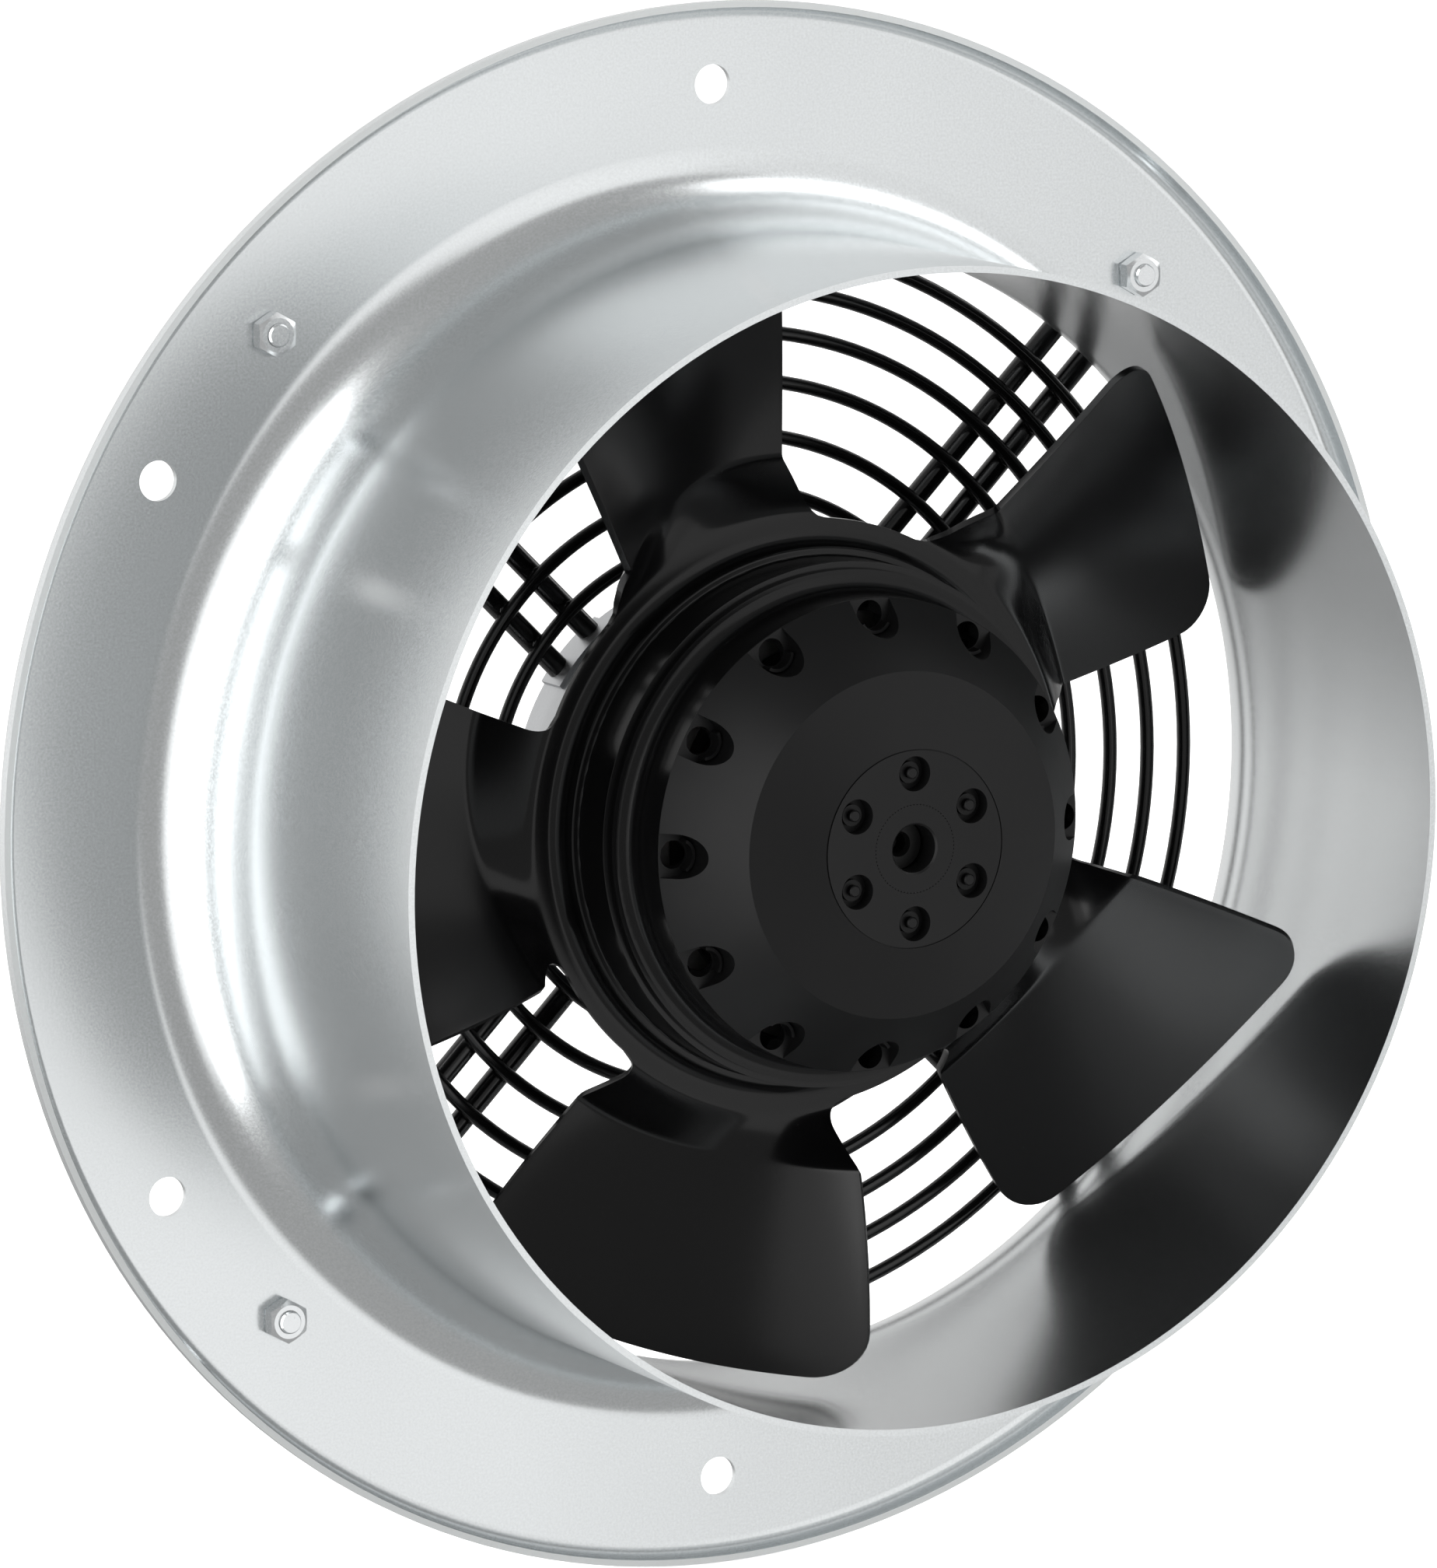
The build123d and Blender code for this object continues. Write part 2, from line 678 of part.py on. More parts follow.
def rotor_cage():
    r_in = stator_r + air_gap + 0.6
    front = tube(cage_ring_r, r_in, stack_front_y - cage_ring_t, stack_front_y)
    rear = tube(cage_ring_r, r_in, stack_rear_y, stack_rear_y + cage_ring_t)
    bar = Pos(cage_bar_circle_r, 0, 0) * rod(cage_bar_r, stack_front_y - 0.1, stack_rear_y + 0.1)
    return front + rear + around(bar, cage_bar_count)


def smooth(v):
    v = min(max(v, 0.0), 1.0)
    return v * v * (3.0 - 2.0 * v)


def blade_y(r, turn):
    # Front surface of a blade at a radius and at a turn in degrees from the blade's middle
    u = (r - blade_ref_r) / blade_ref_span
    s = min(max(turn, -far_edge_lag - 6.0), near_edge_lead + 6.0) / blade_ref_turn
    near = edge_turn(r, near_edge_lead, near_edge_sweep, near_edge_bow) / blade_ref_turn
    far = edge_turn(r, -far_edge_lag, far_edge_sweep, far_edge_bow) / blade_ref_turn
    near_y = near_edge_y + near_edge_rise * u + near_edge_curve * u * u
    far_y = far_edge_y + far_edge_rise * u + far_edge_curve * u * u
    y = (near_y * (s - far) + far_y * (near - s)) / (near - far)
    y = y + (blade_camber + blade_camber_rise * u) * (s - near) * (s - far)
    mix = smooth((r - root_blend_start_r) / (root_blend_end_r - root_blend_start_r))
    rim_y = ring_face_y - (blade_t - sheet_t) / 2.0
    return rim_y + (y - rim_y) * mix


def edge_turn(r, middle, sweep_by, bow):
    u = (r - blade_ref_r) / blade_ref_span
    return middle + sweep_by * u + bow * u * u


def plan_point(r, turn):
    a = math.radians(blade_phase + turn)
    return (r * math.cos(a), r * math.sin(a))


def blade_plan():
    # One blade and its share of the hub ring, seen along the fan axis
    r_root = hub_ring_r - rim_band / 2.0
    steps = 6
    radii = [r_root + (tip_r - r_root) * k / steps for k in range(steps + 1)]
    near = [plan_point(r, edge_turn(r, near_edge_lead, near_edge_sweep, near_edge_bow)) for r in radii]
    far = [plan_point(r, edge_turn(r, -far_edge_lag, far_edge_sweep, far_edge_bow)) for r in radii]
    tip_mid = plan_point(tip_r, 0.0)
    root_mid = plan_point(r_root, 0.0)
    sides = Spline(*near) + ThreePointArc(near[-1], tip_mid, far[-1])
    sides = sides + Spline(*reversed(far)) + ThreePointArc(far[0], root_mid, near[0])
    blade = make_face(sides)
    corners = [v for v in blade.vertices() if math.hypot(v.X, v.Y) > tip_r - 1.0]
    blade = fillet(corners, tip_corner_r)
    share = Circle(hub_ring_r) - Circle(hub_ring_r - rim_band)
    plan = blade + share
    roots = []
    for v in plan.vertices():
        if abs(math.hypot(v.X, v.Y) - hub_ring_r) < 0.05:
            turn = math.degrees(math.atan2(v.Y, v.X)) - blade_phase
            if 10.0 < abs((turn + 180.0) % 360.0 - 180.0) < 35.0:
                roots.append(v)
    return fillet(roots, root_fillet_r)


def blade():
    rows = 14
    cols = 18
    span = near_edge_lead + far_edge_lag + 28.0
    start = -far_edge_lag - 14.0
    grid = []
    for i in range(rows):
        r = hub_ring_r - 4.5 + (tip_r + 5.0 - hub_ring_r) * i / (rows - 1)
        line = []
        for j in range(cols):
            turn = start + span * j / (cols - 1)
            x, z = plan_point(r, turn)
            line.append(Vector(x, blade_y(r, turn), z))
        grid.append(line)
    skin = Face.make_surface_from_array_of_points(grid, tol=0.02)
    slab = extrude(skin, blade_t, dir=(0, 1, 0))
    prism = Pos(0, 80, 0) * (Plane.XZ * extrude(blade_plan(), 160))
    return slab & prism


def hub_ring():
    t = sheet_t
    r0 = rotor_r
    f = ring_face_fillet
    rim_in = hub_ring_r - rim_band / 3.0
    outline = Polyline(
        (r0, collar_lip_y), (r0 + t, collar_lip_y), (r0 + t, step_y), (step_r - 0.5, step_y),
        (step_r, step_y + 0.5), (step_r, ring_face_y - f)
    )
    turn = CenterArc((step_r + f, ring_face_y - f), f, 90, 90)
    rest = Polyline(
        (step_r + f, ring_face_y), (rim_in, ring_face_y), (rim_in, ring_face_y + t),
        (step_r - t + f, ring_face_y + t), (step_r - t, ring_face_y + t - f), (step_r - t, step_y + t),
        (r0, step_y + t), (r0, collar_lip_y)
    )
    return revolve(make_face(outline + turn + rest), Axis.Y, 360.0)


def impeller():
    wheel = hub_ring()
    one = blade()
    for k in range(blade_count):
        wheel = wheel + at_angle(one, 360.0 * k / blade_count)
    return wheel


def main():
    save(nozzle_ring(), "nozzle_ring")
    inner_ring_r = drum_r + inner_ring_gap
    ring_span = throat_r - outer_ring_gap - inner_ring_r
    places = [0.0, ring_2_place, ring_3_place, ring_4_place, ring_5_place, ring_6_place, 1.0]
    for k, place in enumerate(places):
        save(guard_ring(inner_ring_r + ring_span * place), "guard_ring_%d" % (k + 1))
    arm = guard_arm()
    for k in range(arm_count):
        save(on_arm_line(arm, k), "guard_arm_%d" % (k + 1))
    save([upright_at_bolt(guard_bolt(), k) for k in range(arm_count)], "guard_bolts")
    save([upright_at_bolt(guard_washer(), k) for k in range(arm_count)], "guard_washers")
    save([upright_at_bolt(guard_nut(), k) for k in range(arm_count)], "guard_nuts")
    save(stator_housing(), "stator_housing")
    save(rear_cover(), "rear_cover")
    save(cover_gasket(), "cover_gasket")
    save(around(cover_screw(), cover_screw_count), "cover_screws")
    save(gland_body(), "gland_body")
    save(gland_cap(), "gland_cap")
    save(gland_seal(), "gland_seal")
    save(gland_locknut(), "gland_locknut")
    save(terminal_block(), "terminal_block")
    save(terminal_screws(), "terminal_screws")
    save(stator_core(), "stator_core")
    save(winding(), "winding")
    save(end_insulators(), "end_insulators")
    save(wave_spring(), "wave_spring")
    for name, y0 in (("front", front_bearing_y), ("rear", rear_bearing_y)):
        save(bearing_outer(y0), name + "_bearing_outer")
        save(bearing_inner(y0), name + "_bearing_inner")
        save(bearing_balls(y0), name + "_bearing_balls")
        save(bearing_cage(y0), name + "_bearing_cage")
    save(rotor_pot(), "rotor_pot")
    save(rotor_pins(), "rotor_pins")
    save(shaft_bush(), "shaft_bush")
    save(shaft(), "shaft")
    save(shaft_circlip(), "shaft_circlip")
    save(rotor_laminations(), "rotor_laminations")
    save(rotor_cage(), "rotor_cage")
    save(impeller(), "impeller")


main()
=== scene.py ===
import json
import math

import bmesh
import bpy
from bpy.props import FloatProperty, FloatVectorProperty, IntProperty, PointerProperty
from mathutils import Matrix, Vector


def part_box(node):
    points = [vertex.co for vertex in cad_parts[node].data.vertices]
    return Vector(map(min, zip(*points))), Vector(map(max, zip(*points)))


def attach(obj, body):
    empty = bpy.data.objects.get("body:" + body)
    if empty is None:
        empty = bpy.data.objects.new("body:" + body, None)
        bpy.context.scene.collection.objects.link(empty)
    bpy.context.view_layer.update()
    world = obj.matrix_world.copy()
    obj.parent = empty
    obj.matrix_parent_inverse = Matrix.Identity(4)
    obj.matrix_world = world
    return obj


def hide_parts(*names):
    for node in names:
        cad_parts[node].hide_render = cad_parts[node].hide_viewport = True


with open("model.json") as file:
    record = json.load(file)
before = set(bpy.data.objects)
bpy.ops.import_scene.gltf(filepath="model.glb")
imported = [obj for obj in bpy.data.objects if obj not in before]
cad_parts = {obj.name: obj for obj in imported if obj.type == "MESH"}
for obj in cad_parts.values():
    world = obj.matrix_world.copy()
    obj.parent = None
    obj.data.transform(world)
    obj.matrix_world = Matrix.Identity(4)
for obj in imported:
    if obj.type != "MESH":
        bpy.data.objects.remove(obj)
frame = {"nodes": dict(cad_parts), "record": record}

bl_info = {
    "name": "Axial Wall Fan",
    "version": (1, 0, 0),
    "blender": (4, 5, 0),
    "location": "View3D > Sidebar > Wall Fan",
    "description": "Dresses the axial wall fan: sheet metal, guard, impeller, finishes and studio",
    "category": "Object",
}

MM = 0.001
NODES = frame["nodes"]


def reach(node, axis, side):
    """A CAD node's lowest (side 0) or highest (side 1) place along an axis, in metres."""
    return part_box(node)[side][axis]


MOUTH_Y = reach("nozzle_ring", 1, 0)
FLANGE_R = reach("nozzle_ring", 0, 1)
FLANGE_LOW_Z = reach("nozzle_ring", 2, 0)

# Places round the fan axis, in degrees from +X toward +Z
WALL_HOLE_TURNS = [90.0 + 60.0 * k for k in range(6)]
ARM_TURNS = [45.0 + 90.0 * k for k in range(4)]


# ---------------------------------------------------------------- sizes and colours

def length(name, description, value):
    """A size that is typed in millimetres and kept in metres."""
    return FloatProperty(name=name, description=description, default=value * MM,
                         unit="LENGTH", precision=5)


def share(name, description, value):
    return FloatProperty(name=name, description=description, default=value,
                         min=0.0, max=1.0, subtype="FACTOR")


def colour(name, description, value):
    return FloatVectorProperty(name=name, description=description, default=value,
                               min=0.0, max=1.0, subtype="COLOR")


class FanSheetSizes(bpy.types.PropertyGroup):
    """Sizes of the pressed nozzle ring"""
    thickness: length("Sheet", "Thickness of the nozzle sheet", 1.5)
    throat_r: length("Throat radius", "Inside radius of the nozzle", 127.5)
    bell_spread: length("Bell spread", "How far the bell opens beyond the outer wall", 17.0)
    bell_reach: length("Bell reach", "Length of the bell along the fan axis", 27.0)
    collar_bend: length("Collar bend", "Outer radius of the bend at the flange's collar", 4.5)
    collar_height: length("Collar height", "How far the collar turns back from the flange", 4.8)
    wall_hole_r: length("Wall hole", "Radius of a wall hole", 4.5)
    wall_hole_ring: length("Wall hole circle", "Radius of the circle of wall holes", 160.0)
    edge_round: length("Edge round", "Rounding of the cut edges", 0.22)


class FanGuardSizes(bpy.types.PropertyGroup):
    """Sizes of the guard and its fasteners"""
    ring_wire_r: length("Ring wire", "Radius of the ring wire", 1.6)
    arm_wire_r: length("Arm wire", "Radius of the arm wire", 2.6)
    arm_half_pitch: length("Arm half pitch", "Half the distance between an arm's wires", 5.5)
    bolt_ring: length("Bolt circle", "Radius of the circle of guard bolts", 156.6)
    bolt_r: length("Bolt", "Radius of a guard bolt", 2.6)
    bolt_head: length("Bolt head", "Height of a bolt's head", 3.6)
    nut_flats: length("Nut flats", "Distance across a nut's flats", 8.8)
    nut_height: length("Nut height", "Height of a nut", 3.9)
    washer_r: length("Washer", "Radius of a washer", 8.6)
    washer_t: length("Washer thickness", "Thickness of a washer", 1.2)
    weld_reach: length("Weld", "Half length of the weld bead at a wire crossing", 1.75)


class FanWheelSizes(bpy.types.PropertyGroup):
    """Sizes of the impeller"""
    blade_count: IntProperty(name="Blades", description="Number of blades",
                             default=5, min=2, max=12)
    blade_phase: FloatProperty(name="Phase", description="Angle of the first blade",
                               default=math.radians(-37.0), subtype="ANGLE")
    thickness: length("Blade sheet", "Thickness of the blade sheet", 1.6)
    tip_r: length("Tip radius", "Radius of the blades' tips", 124.5)
    hub_r: length("Hub ring", "Outside radius of the hub ring between the blades", 66.7)
    step_r: length("Step", "Radius of the step in the hub ring", 60.9)
    collar_r: length("Collar", "Outside radius of the collar on the rotor", 59.0)
    corner_r: length("Tip corner", "Rounding of a blade's tip corners", 10.5)
    root_r: length("Root fillet", "Rounding between a blade and the hub ring", 5.0)


class FanLooks(bpy.types.PropertyGroup):
    """Colours and gloss of the finishes"""
    zinc: colour("Zinc", "Colour of the galvanised sheet", (0.737, 0.760, 0.768))
    zinc_rough: share("Zinc roughness", "Roughness of the galvanised sheet", 0.24)
    plating: colour("Plating", "Colour of the zinc-plated fasteners", (0.80, 0.82, 0.83))
    casting: colour("Casting", "Colour of the bare die casting", (0.56, 0.57, 0.58))
    rotor: colour("Rotor", "Colour of the coated rotor", (0.0040, 0.0040, 0.0042))
    blade: colour("Blade", "Colour of the coated blades", (0.0030, 0.0030, 0.0032))
    wire: colour("Wire", "Colour of the coated wire", (0.0030, 0.0030, 0.0032))
    floor: colour("Floor", "Colour of the studio floor", (0.93, 0.93, 0.93))


GROUPS = (
    ("fan_sheet", FanSheetSizes), ("fan_guard", FanGuardSizes),
    ("fan_wheel", FanWheelSizes), ("fan_looks", FanLooks),
)


# ---------------------------------------------------------------- modelling by hand

JOINED = 1e-6           # points this near each other become one
JOINED_DRAWN = 0.5e-6   # the same, in an outline that isn't turned yet


def deselect():
    """Leaves edit mode and selects nothing."""
    active = bpy.context.view_layer.objects.active
    if active and active.mode != "OBJECT":
        bpy.ops.object.mode_set(mode="OBJECT")
    bpy.ops.object.select_all(action="DESELECT")


def only(obj):
    """Selects one object alone and makes it active."""
    deselect()
    obj.select_set(True)
    bpy.context.view_layer.objects.active = obj
    return obj


def named(name):
    """Names the active object and its mesh."""
    obj = bpy.context.view_layer.objects.active
    obj.name = name
    obj.data.name = name
    return obj


def edit(obj):
    """Opens an object in edit mode with all of it selected."""
    only(obj)
    bpy.ops.object.mode_set(mode="EDIT")
    bpy.ops.mesh.select_all(action="SELECT")


def done(obj):
    bpy.ops.object.mode_set(mode="OBJECT")
    return obj


def first_vertex(name, point):
    """Starts a piece from a plane primitive gathered into one vertex at a point."""
    deselect()
    bpy.ops.mesh.primitive_plane_add(size=MM, location=(0, 0, 0))
    obj = named(name)
    edit(obj)
    bpy.ops.mesh.merge(type="CENTER")
    bpy.ops.transform.translate(value=point)
    return obj


def spun(name, outline, steps):
    """A ring turned about the fan axis from a closed outline of radius and Y."""
    points = [Vector((r, y, 0.0)) for r, y in outline + outline[:1]]
    obj = first_vertex(name, points[0])
    for a, b in zip(points, points[1:]):
        bpy.ops.mesh.extrude_region_move(TRANSFORM_OT_translate={"value": (b - a)})
    bpy.ops.mesh.select_all(action="SELECT")
    bpy.ops.mesh.remove_doubles(threshold=JOINED_DRAWN)
    bpy.ops.mesh.spin(steps=steps, angle=math.tau, center=(0, 0, 0), axis=(0, 1, 0))
    bpy.ops.mesh.select_all(action="SELECT")
    bpy.ops.mesh.remove_doubles(threshold=JOINED)
    bpy.ops.mesh.normals_make_consistent(inside=False)
    return done(obj)


def arc(cx, cy, rx, ry, start, end, steps):
    """Points of an elliptical arc, with angles in degrees."""
    turns = [math.radians(turn) for turn in spaced(start, end, steps)]
    return [(cx + rx * math.cos(a), cy + ry * math.sin(a)) for a in turns]


def spaced(a, b, count):
    """Evenly spaced numbers from a to b, both included."""
    return [a + (b - a) * k / count for k in range(count + 1)]


def modifier(obj, kind, **values):
    """Adds a modifier with these values and applies it."""
    only(obj)
    made = obj.modifiers.new(kind.title(), kind)
    for key, value in values.items():
        setattr(made, key, value)
    bpy.ops.object.modifier_apply(modifier=made.name)
    return obj


def rounded(obj, width, angle):
    """Rounds every edge sharper than an angle in degrees."""
    return modifier(obj, "BEVEL", width=width, segments=2, limit_method="ANGLE",
                    angle_limit=math.radians(angle), use_clamp_overlap=True,
                    harden_normals=False)


def smooth(obj, angle):
    """Shades curves smooth and keeps flat faces flat beside their rounded edges."""
    only(obj)
    bpy.ops.object.shade_smooth_by_angle(angle=math.radians(angle))
    return modifier(obj, "WEIGHTED_NORMAL", mode="FACE_AREA", weight=50, keep_sharp=True)


def turned_by(obj, degrees):
    """Turns a mesh about the fan axis, from +X toward +Z."""
    obj.data.transform(Matrix.Rotation(-math.radians(degrees), 4, "Y"))
    return obj


def moved_by(obj, x, z):
    """Moves a mesh across the fan axis."""
    obj.data.transform(Matrix.Translation((x, 0.0, z)))
    return obj


def round_axis(radius, degrees):
    """X and Z of a place at a radius from the fan axis."""
    a = math.radians(degrees)
    return radius * math.cos(a), radius * math.sin(a)


def copy_of(obj, name):
    """A copy with its own mesh."""
    twin = obj.copy()
    twin.data = obj.data.copy()
    twin.name = name
    twin.data.name = name
    bpy.context.scene.collection.objects.link(twin)
    return twin


def join(objects, name):
    """Makes one object of several."""
    deselect()
    for one in objects:
        one.select_set(True)
    bpy.context.view_layer.objects.active = objects[0]
    bpy.ops.object.join()
    return named(name)


def combined(obj, operation, other):
    """Cuts an object with another (DIFFERENCE) or keeps what both fill (INTERSECT)."""
    modifier(obj, "BOOLEAN", operation=operation, object=other, solver="EXACT")
    bpy.data.objects.remove(other)
    return obj


def bar(name, r, y0, y1, x=0.0, z=0.0, sides=48):
    """A round bar along the fan's direction, from a cylinder primitive."""
    deselect()
    bpy.ops.mesh.primitive_cylinder_add(
        vertices=sides, radius=r, depth=y1 - y0,
        location=(x, (y0 + y1) / 2.0, z), rotation=(math.radians(90), 0, 0))
    bpy.ops.object.transform_apply(location=True, rotation=True, scale=True)
    return named(name)


def handed_over(obj, body, slot, looks, *nodes):
    """A finished piece rides on its body, takes its finish, and stands for CAD nodes; its slot is
    not used.
    """
    obj.data.materials.clear()
    obj.data.materials.append(bpy.data.materials[looks])
    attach(obj, body)
    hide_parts(*nodes)
    return obj


# ---------------------------------------------------------------- finishes

class Nodes:
    """Short ways to place and join shader nodes in one tree."""

    def __init__(self, tree):
        self.tree = tree

    def add(self, kind, **values):
        """A new node, with values for its settings and its input sockets."""
        node = self.tree.nodes.new(kind)
        for key, value in values.items():
            if hasattr(node, key):
                setattr(node, key, value)
            else:
                self.feed(value, node.inputs[key])
        return node

    def link(self, out, to):
        self.tree.links.new(out, to)

    def feed(self, value, socket):
        """Gives an input socket a plain value, or links another node's output to it."""
        if hasattr(value, "links"):
            self.link(value, socket)
        elif socket.type == "RGBA":
            socket.default_value = tuple(value)[:3] + (1.0,)
        else:
            socket.default_value = value

    def place(self, output="Object"):
        return self.add("ShaderNodeTexCoord").outputs[output]

    def axes(self, vector):
        """A vector's X, Y and Z outputs."""
        split = self.add("ShaderNodeSeparateXYZ")
        self.link(vector, split.inputs[0])
        return split.outputs

    def noise(self, scale, detail=3.0, rough=0.55):
        """A cloudy value from the object's own coordinates."""
        node = self.add("ShaderNodeTexNoise", Scale=scale, Detail=detail, Roughness=rough)
        self.link(self.place(), node.inputs["Vector"])
        return node.outputs["Fac"]

    def spread(self, value, low, high, to_low=0.0, to_high=1.0):
        """A value taken from one range to another, and held at its ends."""
        node = self.add("ShaderNodeMapRange", clamp=True)
        for key, end in (("Value", value), ("From Min", low), ("From Max", high),
                         ("To Min", to_low), ("To Max", to_high)):
            self.feed(end, node.inputs[key])
        return node.outputs["Result"]

    def blend(self, mask, low, high):
        """A colour between two, by a mask."""
        node = self.add("ShaderNodeMix", data_type="RGBA")
        for index, value in ((0, mask), (6, low), (7, high)):
            self.feed(value, node.inputs[index])
        return node.outputs[2]

    def math(self, operation, a, b):
        node = self.add("ShaderNodeMath", operation=operation)
        self.feed(a, node.inputs[0])
        self.feed(b, node.inputs[1])
        return node.outputs[0]

    def relief(self, height, distance):
        """A normal from a height, with the relief's full depth in metres."""
        return self.add("ShaderNodeBump", Strength=1.0, Distance=distance,
                        Height=height).outputs["Normal"]


def label(key):
    """The name of the socket that a keyword stands for, such as Gloss Low for gloss_low."""
    return key.replace("_", " ").title()


def shared_effect(name, **inputs):
    """A new node group that puts out colour, roughness and normal: its nodes, given and out."""
    tree = bpy.data.node_groups.new(name, "ShaderNodeTree")
    for key, value in inputs.items():
        kind = "NodeSocketFloat" if isinstance(value, float) else "NodeSocketColor"
        socket = tree.interface.new_socket(label(key), in_out="INPUT", socket_type=kind)
        socket.default_value = value
    for key, kind in (("Colour", "NodeSocketColor"), ("Roughness", "NodeSocketFloat"),
                      ("Normal", "NodeSocketVector")):
        tree.interface.new_socket(key, in_out="OUTPUT", socket_type=kind)
    n = Nodes(tree)
    return n, n.add("NodeGroupInput").outputs, n.add("NodeGroupOutput").inputs


def make_coating_texture():
    """Orange peel, dust and small gloss changes of a powder or dip coating."""
    n, given, out = shared_effect(
        "Coating Texture", colour=(0.02, 0.02, 0.02, 1.0), gloss_low=0.35, gloss_high=0.45,
        peel_size=900.0, peel_depth=0.1, dust=0.15)
    peel = n.noise(given["Peel Size"], 2.0, 0.5)
    specks = n.spread(n.noise(1500.0, 1.0), 0.70, 0.82)
    dusty = n.math("MULTIPLY", specks, given["Dust"])
    n.link(n.blend(dusty, given["Colour"], (0.30, 0.30, 0.29)), out["Colour"])
    n.link(n.spread(n.noise(24.0, 4.0), 0.3, 0.7, given["Gloss Low"], given["Gloss High"]),
           out["Roughness"])
    n.link(n.relief(n.math("MULTIPLY", peel, given["Peel Depth"]), 0.02 * MM), out["Normal"])


def make_zinc_grain():
    """Fine crystal speckle and slow tone changes of a zinc layer."""
    n, given, out = shared_effect(
        "Zinc Grain", colour=(0.74, 0.76, 0.76, 1.0), gloss_low=0.24, gloss_high=0.31,
        grain_size=1600.0, grain=0.05, relief=0.12)
    speck = n.noise(given["Grain Size"], 2.0, 0.7)
    fine = n.spread(speck, 0.3, 0.7, -0.5, 0.5)
    cloud = n.spread(n.noise(7.0), 0.3, 0.7, -0.35, 0.35)
    shade = n.math("MULTIPLY", n.math("ADD", fine, cloud), given["Grain"])
    tone = n.add("ShaderNodeHueSaturation", Color=given["Colour"],
                 Value=n.math("ADD", shade, 1.0))
    n.link(tone.outputs["Color"], out["Colour"])
    n.link(n.spread(speck, 0.3, 0.7, given["Gloss Low"], given["Gloss High"]), out["Roughness"])
    n.link(n.relief(n.math("MULTIPLY", speck, given["Relief"]), 0.006 * MM), out["Normal"])


def finish_from(effect, name, metallic, settings, shader):
    """A material whose changing colour, roughness and relief come from a shared effect."""
    made = bpy.data.materials.new(name)
    made.use_nodes = True
    made.node_tree.nodes.clear()
    n = Nodes(made.node_tree)
    group = n.add("ShaderNodeGroup", node_tree=bpy.data.node_groups[effect])
    for key, value in settings.items():
        n.feed(value, group.inputs[label(key)])
    bsdf = n.add("ShaderNodeBsdfPrincipled", Metallic=metallic, **shader)
    for key, socket in (("Colour", "Base Color"), ("Roughness", "Roughness"), ("Normal", "Normal")):
        n.link(group.outputs[key], bsdf.inputs[socket])
    n.link(bsdf.outputs[0], n.add("ShaderNodeOutputMaterial").inputs["Surface"])
    return made


def coated(name, colour, gloss_low, gloss_high, peel_size, peel_depth, dust=0.0, shader=()):
    """A coat over anything: peel_size is in lumps per metre."""
    return finish_from("Coating Texture", name, 0.0, {
        "colour": colour, "gloss_low": gloss_low, "gloss_high": gloss_high,
        "peel_size": peel_size, "peel_depth": peel_depth, "dust": dust}, dict(shader))


def metal(name, colour, gloss_low, gloss_high, grain, grain_size=1600.0, relief=0.1):
    """Bare metal: grain_size is in specks per metre."""
    return finish_from("Zinc Grain", name, 1.0, {
        "colour": colour, "gloss_low": gloss_low, "gloss_high": gloss_high,
        "grain": grain, "grain_size": grain_size, "relief": relief}, {})


def along_axis(made, start, end):
    """A finished material's nodes, its shader's inputs and a mask that rises along the axis."""
    n = Nodes(made.node_tree)
    shader = [node for node in n.tree.nodes if node.type == "BSDF_PRINCIPLED"][0]
    return n, shader.inputs, n.spread(n.axes(n.place())["Y"], start, end)


def linked_to(socket):
    return socket.links[0].from_socket


def painted_end(made):
    """The shaft's ground steel, coated with the rotor where its front end shows in the bush."""
    n, shader, bare = along_axis(made, -74.0 * MM, -72.0 * MM)
    colour, rough = linked_to(shader["Base Color"]), linked_to(shader["Roughness"])
    n.link(n.blend(bare, (0.004, 0.004, 0.004), colour), shader["Base Color"])
    n.link(bare, shader["Metallic"])
    n.link(n.math("MAXIMUM", n.math("SUBTRACT", 0.5, bare), rough), shader["Roughness"])


def glossy_below_face(made):
    """The rotor's coating is satin on its face and cone, and smoother on its side."""
    n, shader, side = along_axis(made, -70.9 * MM, -70.6 * MM)
    kept = n.math("SUBTRACT", 1.0, n.math("MULTIPLY", side, 0.58))
    n.link(n.math("MULTIPLY", linked_to(shader["Roughness"]), kept), shader["Roughness"])


SLOT_FINISHES = {
    "galvanised_sheet": "Galvanised sheet", "guard_wire": "Wire coating",
    "zinc_fastener": "Bright zinc plating", "cast_aluminium": "Bare die casting",
    "seal_rubber": "Seal rubber", "black_plastic": "Gland plastic",
    "pale_plastic": "Pale plastic", "lamination_steel": "Sheet edges",
    "copper_winding": "Varnished copper", "bearing_steel": "Ground bearing steel",
    "rotor_black": "Rotor coating", "blade_black": "Blade coating",
}


